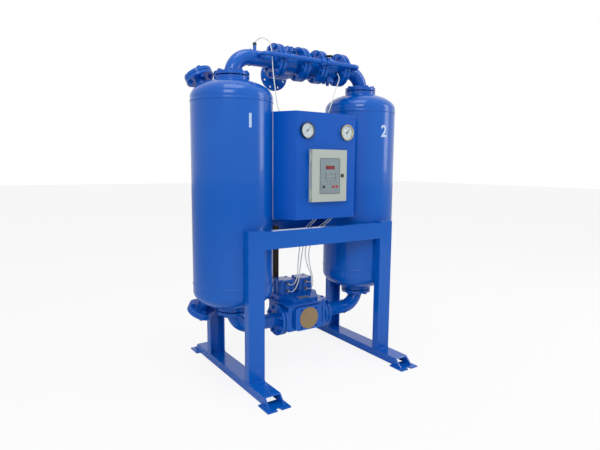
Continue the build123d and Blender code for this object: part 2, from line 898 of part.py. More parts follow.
with BuildPart() as check_valve_caps:
    with BuildSketch(level(check_left_x, 0, top_axis_z + bonnet_face)):
        Circle(bonnet_flange_r)
    extrude(amount=bonnet_cap_thick)
    with BuildSketch(level(check_left_x, 0, top_axis_z + cap_top)):
        Circle(bonnet_boss_r)
    extrude(amount=6)
    with BuildSketch(level(check_right_x, 0, top_axis_z - bonnet_face, -1)):
        Circle(bonnet_flange_r)
    extrude(amount=bonnet_cap_thick)
    with BuildSketch(level(check_right_x, 0, top_axis_z - cap_top, -1)):
        Circle(bonnet_boss_r)
    extrude(amount=20)
check_valve_caps.part.label = "check_valve_caps"
export_step(check_valve_caps.part, "parts/check_valve_caps.step")

left_poppet = check_poppet(check_left_x, 1)
right_poppet = check_poppet(check_right_x, -1)

with BuildPart() as check_poppet_left:
    add(left_poppet)
check_poppet_left.part.label = "check_poppet_left"
export_step(check_poppet_left.part, "parts/check_poppet_left.step")

with BuildPart() as check_poppet_right:
    add(right_poppet)
check_poppet_right.part.label = "check_poppet_right"
export_step(check_poppet_right.part, "parts/check_poppet_right.step")

# outlet tee with its vent cock below
tee_from_x = joint_tee_left_x + half_gasket
tee_to_x = joint_tee_right_x - half_gasket
tee_x = (tee_from_x + tee_to_x) / 2
tee_flanges = [
    flange(across(tee_from_x, side=-1)),
    flange(across(tee_to_x)),
    flange(facing(tee_x, outlet_face_y, top_axis_z, 1)),
]
tee_bars = [
    disc(across(tee_from_x + 5), pipe_r, tee_to_x - tee_from_x - 10),
    disc(facing(tee_x, 0, top_axis_z, 1), pipe_r, outlet_face_y - 5),
    disc(level(tee_x, 0, top_axis_z - pipe_r + 4, -1), 9, 34),
    disc(level(tee_x, 0, top_axis_z - pipe_r - 20, -1), 14, 16),
    disc(facing(tee_x, -8, top_axis_z - pipe_r - 28), 5, 32),
]
tee_bores = [
    disc(across(tee_from_x - 5), bore_r, tee_to_x - tee_from_x + 10),
    disc(facing(tee_x, 0, top_axis_z, 1), bore_r, outlet_face_y + 5),
]

with BuildPart() as outlet_tee:
    add(tee_flanges)
    add(tee_bars)
    add(tee_bores, mode=Mode.SUBTRACT)
    with BuildSketch(facing(tee_x, outlet_face_y, top_axis_z, 1)):
        with PolarLocations(bolt_ring_r, bolt_count, start_angle=bolt_start):
            Circle(bolt_hole_r)
    extrude(amount=-flange_thick, mode=Mode.SUBTRACT)
outlet_tee.part.label = "outlet_tee"
export_step(outlet_tee.part, "parts/outlet_tee.step")

# union and needle valve in the purge line
needle_parts = [
    disc(across(union_from_x, purge_z, purge_y), purge_r, needle_end_x - union_from_x),
    disc(across(needle_x - needle_half, purge_z, purge_y), needle_body_r, 2 * needle_half),
    disc(level(needle_x, purge_y, purge_z), needle_bonnet_r, needle_bonnet_top),
]

with BuildPart() as purge_valve_body:
    add(needle_parts)
    with BuildSketch(across(union_from_x, purge_z, purge_y)):
        RegularPolygon(union_hex_r, 6)
    extrude(amount=union_to_x - union_from_x)
    with BuildSketch(across(union_from_x, purge_z, purge_y)):
        Circle(purge_bore_r)
    extrude(amount=needle_end_x - union_from_x, mode=Mode.SUBTRACT)
    with BuildSketch(level(needle_x, purge_y, purge_z)):
        Circle(stem_r + running_gap)
    extrude(amount=needle_bonnet_top, mode=Mode.SUBTRACT)
purge_valve_body.part.label = "purge_valve_body"
export_step(purge_valve_body.part, "parts/purge_valve_body.step")

with BuildPart() as purge_handwheel:
    with BuildSketch(level(needle_x, purge_y, purge_z + 2)):
        Circle(stem_r)
    extrude(amount=wheel_rise)
    with BuildSketch(level(needle_x, purge_y, purge_z + wheel_rise - wheel_rim_r)):
        Circle(2 * stem_r)
        with PolarLocations(wheel_r / 2, 4):
            Rectangle(wheel_r, wheel_rim_r)
    extrude(amount=2 * wheel_rim_r)
    with BuildSketch(Plane((needle_x, purge_y, purge_z + wheel_rise), x_dir=(1, 0, 0), z_dir=(0, -1, 0))):
        with Locations((wheel_r, 0)):
            Circle(wheel_rim_r)
    revolve(axis=Axis((needle_x, purge_y, 0), (0, 0, 1)))
purge_handwheel.part.label = "purge_handwheel"
export_step(purge_handwheel.part, "parts/purge_handwheel.step")

# inlet pipes to the tower bottoms
inlet_pipe_face_x = valve_flange_to + gasket_thick
inlet_route = (
    (-tower_x, 0, bottom_pipe_face_z),
    (-tower_x, 0, bottom_axis_z),
    (-inlet_pipe_face_x, 0, bottom_axis_z),
)
inlet_outside = [
    bar(inlet_route, elbow_r, pipe_r, (0, 0, -1)),
    flange(level(-tower_x, 0, bottom_pipe_face_z)),
    flange(across(-inlet_pipe_face_x, bottom_axis_z)),
]
inlet_bore = bar(inlet_route, elbow_r, bore_r, (0, 0, -1))

with BuildPart() as inlet_pipe_left:
    add(inlet_outside)
    add(inlet_bore, mode=Mode.SUBTRACT)
inlet_pipe_left.part.label = "inlet_pipe_left"
export_step(inlet_pipe_left.part, "parts/inlet_pipe_left.step")

with BuildPart() as inlet_pipe_right:
    mirror(inlet_pipe_left.part, about=Plane.YZ)
inlet_pipe_right.part.label = "inlet_pipe_right"
export_step(inlet_pipe_right.part, "parts/inlet_pipe_right.step")

# inlet valve body with its chambers and the exhaust pipe at its back
exhaust_route = (
    (exhaust_x, valve_back_y - wall_back, exhaust_z),
    (exhaust_x, exhaust_y, exhaust_z),
    (exhaust_x, exhaust_y, silencer_from_z),
)
chamber_back_y = valve_back_y - wall_back
valve_outside = [
    block((-valve_half, valve_front_y, valve_bottom_z), (valve_half, valve_back_y, valve_top_z)),
    flange(across(-valve_flange_to, bottom_axis_z, side=-1)),
    flange(across(valve_flange_to, bottom_axis_z)),
    bar(exhaust_route, exhaust_bend_r, exhaust_r, (0, 1, 0)),
]
valve_inside = [
    disc(facing(0, inlet_face_y, inlet_port_z, 1), bore_r, valve_front_y - inlet_face_y + 14),
    block((-plenum_half, valve_front_y + wall_back, chamber_low_z),
          (plenum_half, chamber_back_y, chamber_high_z)),
    block((-chamber_out_x, actuator_y - 40, gallery_low_z), (chamber_out_x, chamber_back_y, gallery_high_z)),
    disc(level(0, actuator_y, chamber_high_z - 1), valve_seat_r, gallery_low_z - chamber_high_z + 2),
    bar(exhaust_route, exhaust_bend_r, exhaust_bore_r, (0, 1, 0)),
]
for way in (1, -1):
    low = (min(way * chamber_in_x, way * chamber_out_x), valve_front_y + wall_back + 20, chamber_low_z)
    high = (max(way * chamber_in_x, way * chamber_out_x), chamber_back_y, chamber_high_z)
    valve_inside.append(block(low, high))
    valve_inside.append(disc(across(way * chamber_out_x, bottom_axis_z, 0, way), bore_r, valve_flange_to))
    valve_inside.append(disc(level(way * actuator_x, actuator_y, chamber_high_z - 1), valve_seat_r,
                             gallery_low_z - chamber_high_z + 2))
    valve_inside.append(disc(level(way * actuator_x, actuator_y, gallery_high_z), piston_stem_r + 6,
                             valve_top_z - gallery_high_z))

with BuildPart() as inlet_valve_body:
    add(valve_outside)
    with BuildSketch(facing(0, inlet_face_y, 0)) as inlet_plate:
        with Locations((0, (valve_bottom_z + inlet_plate_top_z) / 2)):
            Rectangle(2 * inlet_plate_half, inlet_plate_top_z - valve_bottom_z)
        fillet(inlet_plate.vertices().group_by(Axis.Z)[0], inlet_plate_corner)
    extrude(amount=inlet_face_y - valve_front_y - 2)
    add(valve_inside, mode=Mode.SUBTRACT)
    with BuildSketch(facing(0, valve_front_y, 0)):
        with Locations((slot_x, (slot_low_z + slot_high_z) / 2), (-slot_x, (slot_low_z + slot_high_z) / 2)):
            SlotOverall(slot_high_z - slot_low_z, slot_width, rotation=90)
    extrude(amount=-slot_cut, mode=Mode.SUBTRACT)
    with BuildSketch(facing(0, inlet_face_y, inlet_port_z)):
        with GridLocations(2 * inlet_bolt_half, 2 * inlet_bolt_half, 2, 2):
            Circle(inlet_tap_r)
    extrude(amount=-inlet_tap_depth, mode=Mode.SUBTRACT)
inlet_valve_body.part.label = "inlet_valve_body"
export_step(inlet_valve_body.part, "parts/inlet_valve_body.step")

# cover plate of the inlet valve, with the raised seat of the two actuators
with BuildPart() as inlet_valve_cover:
    with BuildSketch(Plane((0, 0, 0), x_dir=(0, 1, 0), z_dir=(1, 0, 0))):
        with BuildLine():
            Polyline(
                (platform_front_y, cover_plate_top_z),
                (platform_front_y, platform_front_z),
                (platform_rise_y, platform_z),
                (valve_back_y, platform_z),
                (valve_back_y, cover_plate_top_z),
                close=True,
            )
        make_face()
    extrude(amount=valve_half, both=True)
    with BuildSketch(level(0, 0, cover_plate_top_z)):
        with BuildLine():
            Polyline(
                (-platform_front_half, platform_front_y),
                (platform_front_half, platform_front_y),
                (valve_half, platform_rise_y),
                (valve_half, valve_back_y),
                (-valve_half, valve_back_y),
                (-valve_half, platform_rise_y),
                close=True,
            )
        make_face()
    extrude(amount=platform_z - cover_plate_top_z, mode=Mode.INTERSECT)
    with BuildSketch(level(0, (inlet_face_y + valve_back_y) / 2, valve_top_z)):
        Rectangle(2 * cover_over_x, valve_back_y - inlet_face_y)
    extrude(amount=cover_plate_top_z - valve_top_z)
    with BuildSketch(level(0, actuator_y, valve_top_z)):
        with Locations((-actuator_x, 0), (actuator_x, 0)):
            Circle(piston_stem_r + running_gap)
    extrude(amount=platform_z - valve_top_z, mode=Mode.SUBTRACT)
inlet_valve_cover.part.label = "inlet_valve_cover"
export_step(inlet_valve_cover.part, "parts/inlet_valve_cover.step")


def actuator(centre_x, rib_offset):
    """Lobed air cylinder with a flat rib in front for its two fittings."""
    seat = level(centre_x, actuator_y, platform_z)
    with BuildPart() as made:
        with BuildSketch(seat):
            Circle(actuator_r)
            with GridLocations(2 * lobe_offset, 2 * lobe_offset, 2, 2):
                Circle(lobe_r)
            with Locations((rib_offset, -rib_reach / 2)):
                Rectangle(2 * rib_half, rib_reach)
        extrude(amount=actuator_cap_z - platform_z)
        with BuildSketch(seat.offset(actuator_cap_z - platform_z)):
            RectangleRounded(2 * (lobe_offset + lobe_r), 2 * (lobe_offset + lobe_r), actuator_cap_corner)
        extrude(amount=actuator_top_z - actuator_cap_z)
        with BuildSketch(seat.offset(actuator_floor)):
            Circle(piston_r + slide_gap)
        extrude(amount=actuator_cap_z - platform_z - actuator_floor, mode=Mode.SUBTRACT)
        with BuildSketch(seat):
            Circle(piston_stem_r + running_gap)
        extrude(amount=actuator_floor, mode=Mode.SUBTRACT)
    return made.part


def valve_piston(centre_x):
    """Piston, stem and valve disc, lowered: when raised, the disc closes the seat from below."""
    piston_low_z = platform_z + actuator_floor + seat_gap
    disc_top_z = chamber_high_z - seat_gap - valve_travel
    with BuildPart() as made:
        with BuildSketch(level(centre_x, actuator_y, disc_top_z, -1)):
            Circle(valve_disc_r)
        extrude(amount=valve_disc_thick)
        with BuildSketch(level(centre_x, actuator_y, disc_top_z - 2)):
            Circle(piston_stem_r)
        extrude(amount=piston_low_z + 2 - disc_top_z + 2)
        with BuildSketch(level(centre_x, actuator_y, piston_low_z)):
            Circle(piston_r)
        extrude(amount=piston_thick)
    return made.part


left_actuator = actuator(-actuator_x, fitting_offset_left)
right_actuator = actuator(actuator_x, fitting_offset_right)
left_piston = valve_piston(-actuator_x)
right_piston = valve_piston(actuator_x)
rib_face_y = actuator_y - rib_reach
fitting_left_x = fitting_offset_left - actuator_x
fitting_right_x = fitting_offset_right + actuator_x

with BuildPart() as actuator_left:
    add(left_actuator)
actuator_left.part.label = "actuator_left"
export_step(actuator_left.part, "parts/actuator_left.step")

with BuildPart() as actuator_right:
    add(right_actuator)
actuator_right.part.label = "actuator_right"
export_step(actuator_right.part, "parts/actuator_right.step")

with BuildPart() as valve_piston_left:
    add(left_piston)
valve_piston_left.part.label = "valve_piston_left"
export_step(valve_piston_left.part, "parts/valve_piston_left.step")

with BuildPart() as valve_piston_right:
    add(right_piston)
valve_piston_right.part.label = "valve_piston_right"
export_step(valve_piston_right.part, "parts/valve_piston_right.step")

with BuildPart() as actuator_fittings:
    for fitting_x in (fitting_left_x, fitting_right_x):
        with BuildSketch(facing(fitting_x, rib_face_y, 0)):
            with Locations((0, fitting_high_z), (0, fitting_low_z)):
                RegularPolygon(fitting_r, 6)
        extrude(amount=fitting_length)
actuator_fittings.part.label = "actuator_fittings"
export_step(actuator_fittings.part, "parts/actuator_fittings.step")

# protective disc over the inlet port
with BuildPart() as port_disc:
    with BuildSketch(facing(0, inlet_face_y, inlet_port_z)):
        Circle(raised_r)
    extrude(amount=2)
port_disc.part.label = "port_disc"
export_step(port_disc.part, "parts/port_disc.step")

# silencer on the exhaust pipe
with BuildPart() as silencer:
    with BuildSketch(level(exhaust_x, exhaust_y, silencer_from_z)):
        RegularPolygon(silencer_hex_r, 6)
    extrude(amount=silencer_hex_height)
    with BuildSketch(level(exhaust_x, exhaust_y, silencer_from_z + silencer_hex_height)):
        Circle(silencer_r)
    extrude(amount=silencer_to_z - silencer_from_z - silencer_hex_height)
    with BuildSketch(level(exhaust_x, exhaust_y, silencer_from_z)):
        Circle(exhaust_bore_r)
    extrude(amount=silencer_to_z - silencer_from_z - 8, mode=Mode.SUBTRACT)
silencer.part.label = "silencer"
export_step(silencer.part, "parts/silencer.step")

# control cover: one folded sheet whose flared sides reach the two shells
flare = math.radians(flare_angle)
flare_dx = -math.sin(flare)
flare_dy = math.cos(flare)
from_axis_x = tower_x - cover_half
reach_b = from_axis_x * flare_dx + cover_front_y * flare_dy
reach_c = from_axis_x**2 + cover_front_y**2 - (vessel_r + seat_gap) ** 2
flare_length = -reach_b - math.sqrt(reach_b**2 - reach_c) - 1.2
flare_end_x = cover_half - flare_length * flare_dx
flare_end_y = cover_front_y + flare_length * flare_dy
fold_in = cover_sheet * math.tan((math.pi / 2 - flare) / 2)

with BuildPart() as control_cover:
    with BuildSketch(level(0, 0, cover_low_z)):
        with BuildLine():
            Polyline(
                (-flare_end_x, flare_end_y),
                (-cover_half, cover_front_y),
                (cover_half, cover_front_y),
                (flare_end_x, flare_end_y),
                (flare_end_x - cover_sheet * flare_dy, flare_end_y + cover_sheet * flare_dx),
                (cover_half - fold_in, cover_front_y + cover_sheet),
                (fold_in - cover_half, cover_front_y + cover_sheet),
                (-flare_end_x + cover_sheet * flare_dy, flare_end_y + cover_sheet * flare_dx),
                close=True,
            )
        make_face()
    extrude(amount=cover_high_z - cover_low_z)
    with BuildSketch(facing(0, cover_front_y, 0)):
        with Locations((0, (cabinet_low_z + cabinet_high_z) / 2)):
            Rectangle(2 * (cabinet_half + cutout_gap), cabinet_high_z - cabinet_low_z + 2 * cutout_gap)
        with Locations((-gauge_x, gauge_z), (gauge_x, gauge_z)):
            Circle(gauge_can_r + slide_gap)
    extrude(amount=-cover_sheet, mode=Mode.SUBTRACT)
control_cover.part.label = "control_cover"
export_step(control_cover.part, "parts/control_cover.step")

# cabinet: folded box with a lip round its mouth and its halves of the hinges
hinge_x = -cabinet_half - hinge_offset
hinge_y = cabinet_mouth_y - 1
hinge_third = hinge_length / 3
cabinet_middle_z = (cabinet_low_z + cabinet_high_z) / 2
cabinet_height = cabinet_high_z - cabinet_low_z
inside_half = cabinet_half - cabinet_sheet
fixed_knuckles = []
door_knuckles = []
for middle_z in (hinge_low_z, hinge_high_z):
    for step in (-1, 1):
        low_z = middle_z + step * hinge_third - hinge_third / 2
        fixed_knuckles.append(disc(level(hinge_x, hinge_y, low_z), hinge_r, hinge_third))
        leaf = block((hinge_x, hinge_y + 1, low_z), (-cabinet_half + 0.5, hinge_y + hinge_r, low_z + hinge_third))
        fixed_knuckles.append(leaf)
    low_z = middle_z - hinge_third / 2 + door_gap
    door_knuckles.append(disc(level(hinge_x, hinge_y, low_z), hinge_r, hinge_third - 2 * door_gap))
    door_knuckles.append(block((hinge_x, hinge_y - hinge_r, low_z),
                               (-cabinet_half + 0.5, hinge_y - 1, low_z + hinge_third - 2 * door_gap)))
hinge_pins = [disc(level(hinge_x, hinge_y, z - hinge_length / 2), hinge_pin_r, hinge_length)
              for z in (hinge_low_z, hinge_high_z)]
hinge_holes = [disc(level(hinge_x, hinge_y, z - hinge_length / 2), hinge_pin_r + running_gap, hinge_length)
               for z in (hinge_low_z, hinge_high_z)]

with BuildPart() as cabinet_body:
    with BuildSketch(facing(0, cabinet_mouth_y, cabinet_middle_z)):
        Rectangle(2 * cabinet_half, cabinet_height)
    extrude(amount=cabinet_mouth_y - cabinet_back_y)
    with BuildSketch(facing(0, cabinet_mouth_y + cabinet_sheet, cabinet_middle_z)):
        Rectangle(2 * inside_half, cabinet_height - 2 * cabinet_sheet)
    extrude(amount=cabinet_mouth_y - cabinet_back_y + 2 * cabinet_sheet, mode=Mode.SUBTRACT)
    with BuildSketch(facing(0, cabinet_mouth_y, cabinet_middle_z)):
        Rectangle(2 * (inside_half - cabinet_lip), cabinet_height - 2 * (cabinet_sheet + cabinet_lip))
    extrude(amount=-cabinet_sheet, mode=Mode.SUBTRACT)
    add(fixed_knuckles)
    add(hinge_pins)
cabinet_body.part.label = "cabinet_body"
export_step(cabinet_body.part, "parts/cabinet_body.step")

# cabinet door: a shallow pan with holes for the buttons and the lock
door_back_y = cabinet_mouth_y - door_gap

with BuildPart() as cabinet_door:
    with BuildSketch(facing(0, door_front_y, cabinet_middle_z)):
        Rectangle(2 * cabinet_half, cabinet_height)
    extrude(amount=door_front_y - door_back_y)
    with BuildSketch(facing(0, door_front_y + cabinet_sheet, cabinet_middle_z)):
        Rectangle(2 * inside_half, cabinet_height - 2 * cabinet_sheet)
    extrude(amount=door_front_y - door_back_y + cabinet_sheet, mode=Mode.SUBTRACT)
    add(door_knuckles)
    add(hinge_holes, mode=Mode.SUBTRACT)
    with BuildSketch(facing(0, door_front_y, 0)):
        with Locations(*[(x, button_z) for x in button_xs]):
            Circle(button_r + slide_gap)
        with Locations((lock_x, lock_z)):
            Circle(lock_r + running_gap)
    extrude(amount=-cabinet_sheet, mode=Mode.SUBTRACT)
cabinet_door.part.label = "cabinet_door"
export_step(cabinet_door.part, "parts/cabinet_door.step")

with BuildPart() as key_panel:
    with BuildSketch(facing(0, door_front_y, 0)):
        with Locations(((panel_left_x + panel_right_x) / 2, (panel_low_z + panel_high_z) / 2)):
            RectangleRounded(panel_right_x - panel_left_x, panel_high_z - panel_low_z, panel_corner)
        with Locations(*[(x, button_z) for x in button_xs]):
            Circle(button_r + slide_gap, mode=Mode.SUBTRACT)
    extrude(amount=panel_thick)
key_panel.part.label = "key_panel"
export_step(key_panel.part, "parts/key_panel.step")

with BuildPart() as display_window:
    with BuildSketch(facing(0, door_front_y - panel_thick, 0)):
        with Locations(((display_left_x + display_right_x) / 2, (display_low_z + display_high_z) / 2)):
            Rectangle(display_right_x - display_left_x, display_high_z - display_low_z)
    extrude(amount=display_thick)
display_window.part.label = "display_window"
export_step(display_window.part, "parts/display_window.step")


def button(x):
    """Push button: its collar behind the door sheet stops it on the way out."""
    front = facing(x, door_front_y - panel_thick - button_stand, button_z)
    collar = facing(x, door_front_y + cabinet_sheet + seat_gap, button_z, 1)
    with BuildPart() as made:
        with BuildSketch(front):
            Circle(button_r)
        extrude(amount=-(button_stand + panel_thick + cabinet_sheet + seat_gap + button_collar))
        with BuildSketch(collar):
            Circle(button_collar_r)
        extrude(amount=button_collar)
    return made.part


buttons = [button(x) for x in button_xs]

with BuildPart() as button_1:
    add(buttons[0])
button_1.part.label = "button_1"
export_step(button_1.part, "parts/button_1.step")

with BuildPart() as button_2:
    add(buttons[1])
button_2.part.label = "button_2"
export_step(button_2.part, "parts/button_2.step")

with BuildPart() as button_3:
    add(buttons[2])
button_3.part.label = "button_3"
export_step(button_3.part, "parts/button_3.step")

# quarter-turn lock: unlocked, with its cam upright
with BuildPart() as door_lock:
    with BuildSketch(facing(lock_x, door_front_y, lock_z)):
        Circle(lock_head_r)
    extrude(amount=lock_head)
    with BuildSketch(facing(lock_x, door_front_y, lock_z)):
        Circle(lock_r)
    extrude(amount=door_front_y - cabinet_mouth_y - cabinet_sheet - 1 - lock_cam_thick)
    with BuildSketch(facing(lock_x, cabinet_mouth_y + cabinet_sheet + 1, lock_z, 1)):
        with Locations((0, lock_cam_length / 2 - lock_cam_width / 4)):
            Rectangle(lock_cam_width, lock_cam_length)
    extrude(amount=lock_cam_thick)
    with BuildSketch(facing(lock_x, door_front_y - lock_head, lock_z)):
        Rectangle(3, lock_head_r)
    extrude(amount=-1.5, mode=Mode.SUBTRACT)
door_lock.part.label = "door_lock"
export_step(door_lock.part, "parts/door_lock.step")

# pressure gauges
gauge_front_y = cover_front_y - gauge_stand


def gauge_case(x):
    """Gauge case: a bezel in front of the cover, a can and a stem behind it."""
    front = facing(x, gauge_front_y, gauge_z)
    with BuildPart() as made:
        with BuildSketch(front):
            Circle(gauge_r)
        extrude(amount=-gauge_stand)
        with BuildSketch(front):
            Circle(gauge_can_r)
        extrude(amount=-gauge_depth - gauge_stand + gauge_dial_back + 6)
        with BuildSketch(front):
            Circle(gauge_stem_r)
        extrude(amount=gauge_front_y - gauge_stem_to_y)
        with BuildSketch(front):
            Circle(gauge_r - gauge_lip)
        extrude(amount=-gauge_dial_back, mode=Mode.SUBTRACT)
        with BuildSketch(front):
            Circle(pointer_pin_r + running_gap)
        extrude(amount=-gauge_dial_back - 8, mode=Mode.SUBTRACT)
    return made.part


def gauge_pointer(x):
    """Tapered pointer with a tail and a pin, at half of its scale."""
    front = facing(x, gauge_front_y + pointer_back - pointer_thick, gauge_z)
    with BuildPart() as made:
        with BuildSketch(front):
            with BuildLine():
                Polyline(
                    (-2.2, -pointer_tail),
                    (2.2, -pointer_tail),
                    (0.6, pointer_reach),
                    (-0.6, pointer_reach),
                    close=True,
                )
            make_face()
            Circle(pointer_hub_r)
        extrude(amount=-pointer_thick)
        with BuildSketch(front):
            Circle(pointer_pin_r)
        extrude(amount=-(gauge_dial_back - pointer_back + pointer_thick + 6))
    return made.part.rotate(Axis((x, 0, gauge_z), (0, 1, 0)), 45)


cases = [gauge_case(-gauge_x), gauge_case(gauge_x)]
pointers = [gauge_pointer(-gauge_x), gauge_pointer(gauge_x)]

with BuildPart() as gauge_case_left:
    add(cases[0])
gauge_case_left.part.label = "gauge_case_left"
export_step(gauge_case_left.part, "parts/gauge_case_left.step")

with BuildPart() as gauge_case_right:
    add(cases[1])
gauge_case_right.part.label = "gauge_case_right"
export_step(gauge_case_right.part, "parts/gauge_case_right.step")

with BuildPart() as gauge_dials:
    with BuildSketch(facing(0, gauge_front_y + gauge_dial_back, gauge_z)):
        with Locations((-gauge_x, 0), (gauge_x, 0)):
            Circle(gauge_r - gauge_lip - seat_gap)
            Circle(pointer_pin_r + running_gap, mode=Mode.SUBTRACT)
    extrude(amount=gauge_dial_thick)
gauge_dials.part.label = "gauge_dials"
export_step(gauge_dials.part, "parts/gauge_dials.step")

with BuildPart() as gauge_glasses:
    with BuildSketch(facing(0, gauge_front_y + gauge_glass_back, gauge_z)):
        with Locations((-gauge_x, 0), (gauge_x, 0)):
            Circle(gauge_r - gauge_lip - seat_gap)
    extrude(amount=gauge_glass_thick)
gauge_glasses.part.label = "gauge_glasses"
export_step(gauge_glasses.part, "parts/gauge_glasses.step")

with BuildPart() as gauge_pointer_left:
    add(pointers[0])
gauge_pointer_left.part.label = "gauge_pointer_left"
export_step(gauge_pointer_left.part, "parts/gauge_pointer_left.step")

with BuildPart() as gauge_pointer_right:
    add(pointers[1])
gauge_pointer_right.part.label = "gauge_pointer_right"
export_step(gauge_pointer_right.part, "parts/gauge_pointer_right.step")

# pilot valves behind the control cover
pilot_middle_y = cover_front_y + cover_sheet + pilot_depth / 2
with BuildPart() as pilot_valves:
    with Locations((-pilot_x, pilot_middle_y, pilot_z), (pilot_x, pilot_middle_y, pilot_z)):
        Box(pilot_width, pilot_depth, pilot_height)
    with BuildSketch(level(0, pilot_middle_y, pilot_z + pilot_height / 2)):
        with Locations((-pilot_x, 0), (pilot_x, 0)):
            Circle(pilot_depth / 2 - 2)
    extrude(amount=12)
pilot_valves.part.label = "pilot_valves"
export_step(pilot_valves.part, "parts/pilot_valves.step")


def tube(name, route):
    """Air tube: straight runs joined by tangent arcs."""
    radii = []
    for before, here, after in zip(route, route[1:], route[2:]):
        run_in = Vector(*here) - Vector(*before)
        run_out = Vector(*after) - Vector(*here)
        turn = math.radians(run_in.get_angle(run_out))
        shorter = min(run_in.length, run_out.length)
        radii.append(0.45 * shorter / math.tan(turn / 2))
    with BuildPart() as made:
        with BuildLine() as path:
            FilletPolyline(*route, radius=radii)
        with BuildSketch(Plane(route[0], z_dir=Vector(*route[1]) - Vector(*route[0]))):
            Circle(tube_r)
        sweep(path=path.wire())
    length = path.wire().length
    share = made.part.volume / (math.pi * tube_r**2 * length)
    print(name, "length", round(length), "least radius", round(min(radii), 1))
    print(name, "volume share", round(share, 4))
    return made.part


# air tubes from the top line to the gauges
gauge_port = (gauge_stem_to_y, gauge_z)
sensor_left_route = (
    (tap_x, 0, tap_top_z + 2.2),
    (tap_x + 22, -22, tap_top_z + 33),
    (tap_x + 60, -60, tap_top_z + 13),
    (-262, -84, 1908),
    (-262, -88, 1848),
    (-264, -100, 1785),
    (-268, -122, 1722),
    (-268, -138, 1655),
    (-264, -150, 1590),
    (-244, -160, 1530),
    (-212, -150, 1480),
    (-168, -146, gauge_z + 3),
    (-gauge_x, gauge_stem_to_y + 38, gauge_z),
    (-gauge_x, gauge_stem_to_y + seat_gap, gauge_z),
)
side_tap_tip = side_tap_reach + 1
side_tap_end = (
    side_tap_x,
    side_tap_way[1] * side_tap_tip,
    top_axis_z + side_tap_way[2] * side_tap_tip,
)
sensor_right_route = (
    side_tap_end,
    (side_tap_x - 4, side_tap_end[1] - 28, side_tap_end[2] - 22),
    (200, -112, 1774),
    (160, -132, 1718),
    (118, -162, 1656),
    (88, -176, 1600),
    (84, -148, 1540),
    (96, -120, 1486),
    (122, -140, gauge_z - 6),
    (gauge_x, gauge_stem_to_y + 36, gauge_z),
    (gauge_x, gauge_stem_to_y + seat_gap, gauge_z),
)
left_sensor = tube("sensor_tube_left", sensor_left_route)
right_sensor = tube("sensor_tube_right", sensor_right_route)

with BuildPart() as sensor_tube_left:
    add(left_sensor)
sensor_tube_left.part.label = "sensor_tube_left"
export_step(sensor_tube_left.part, "parts/sensor_tube_left.step")

with BuildPart() as sensor_tube_right:
    add(right_sensor)
sensor_tube_right.part.label = "sensor_tube_right"
export_step(sensor_tube_right.part, "parts/sensor_tube_right.step")

# air tubes from the actuators up behind the beam to the pilot valves
fitting_tip_y = rib_face_y - fitting_length
pilot_low_z = pilot_z - pilot_height / 2
control_1_route = (
    (fitting_left_x, fitting_tip_y - seat_gap, fitting_high_z),
    (fitting_left_x, fitting_tip_y - 60, fitting_high_z),
    (fitting_left_x + 18, -66, fitting_high_z + 67),
    (-58, -62, 640),
    (-60, -74, 712),
    (-72, -104, 780),
    (-80, -142, 845),
    (-78, -186, 905),
    (-pilot_x - 10, pilot_middle_y, pilot_low_z - 44),
    (-pilot_x - 10, pilot_middle_y, pilot_low_z - seat_gap),
)
control_2_route = (
    (fitting_left_x, fitting_tip_y - seat_gap, fitting_low_z),
    (fitting_left_x, fitting_tip_y - 56, fitting_low_z),
    (fitting_left_x + 26, -64, fitting_low_z + 71),
    (-46, -66, 606),
    (-46, -82, 690),
    (-54, -112, 765),
    (-62, -150, 840),
    (-60, -192, 905),
    (-pilot_x + 10, pilot_middle_y, pilot_low_z - 44),
    (-pilot_x + 10, pilot_middle_y, pilot_low_z - seat_gap),
)
control_3_route = (
    (fitting_right_x, fitting_tip_y - seat_gap, fitting_high_z),
    (fitting_right_x, fitting_tip_y - 60, fitting_high_z),
    (fitting_right_x - 18, -66, fitting_high_z + 65),
    (12, -60, 634),
    (-16, -78, 704),
    (-30, -108, 776),
    (-16, -146, 842),
    (16, -188, 900),
    (pilot_x - 10, pilot_middle_y, pilot_low_z - 44),
    (pilot_x - 10, pilot_middle_y, pilot_low_z - seat_gap),
)
control_4_route = (
    (fitting_right_x, fitting_tip_y - seat_gap, fitting_low_z),
    (fitting_right_x, fitting_tip_y - 56, fitting_low_z),
    (fitting_right_x, -66, fitting_low_z + 72),
    (34, -70, 606),
    (4, -88, 680),
    (-14, -118, 752),
    (-4, -154, 826),
    (30, -192, 892),
    (pilot_x + 10, pilot_middle_y, pilot_low_z - 44),
    (pilot_x + 10, pilot_middle_y, pilot_low_z - seat_gap),
)
control_tubes = [
    tube("control_tube_1", control_1_route),
    tube("control_tube_2", control_2_route),
    tube("control_tube_3", control_3_route),
    tube("control_tube_4", control_4_route),
]

with BuildPart() as control_tube_1:
    add(control_tubes[0])
control_tube_1.part.label = "control_tube_1"
export_step(control_tube_1.part, "parts/control_tube_1.step")

with BuildPart() as control_tube_2:
    add(control_tubes[1])
control_tube_2.part.label = "control_tube_2"
export_step(control_tube_2.part, "parts/control_tube_2.step")

with BuildPart() as control_tube_3:
    add(control_tubes[2])
control_tube_3.part.label = "control_tube_3"
export_step(control_tube_3.part, "parts/control_tube_3.step")

with BuildPart() as control_tube_4:
    add(control_tubes[3])
control_tube_4.part.label = "control_tube_4"
export_step(control_tube_4.part, "parts/control_tube_4.step")
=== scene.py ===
# %% [markdown]
# A twin-tower air dryer: two blue pressure vessels in a steel frame, pipework above and below them, and a
# control cabinet between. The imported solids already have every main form, so this script loads them and adds
# what solids leave out: paint and metal, fasteners, welds, prints, and smooth lines for the air tubes.

# %% Load the frame
import bmesh
import bpy
import math
import numpy as np
from mathutils import Matrix, Vector


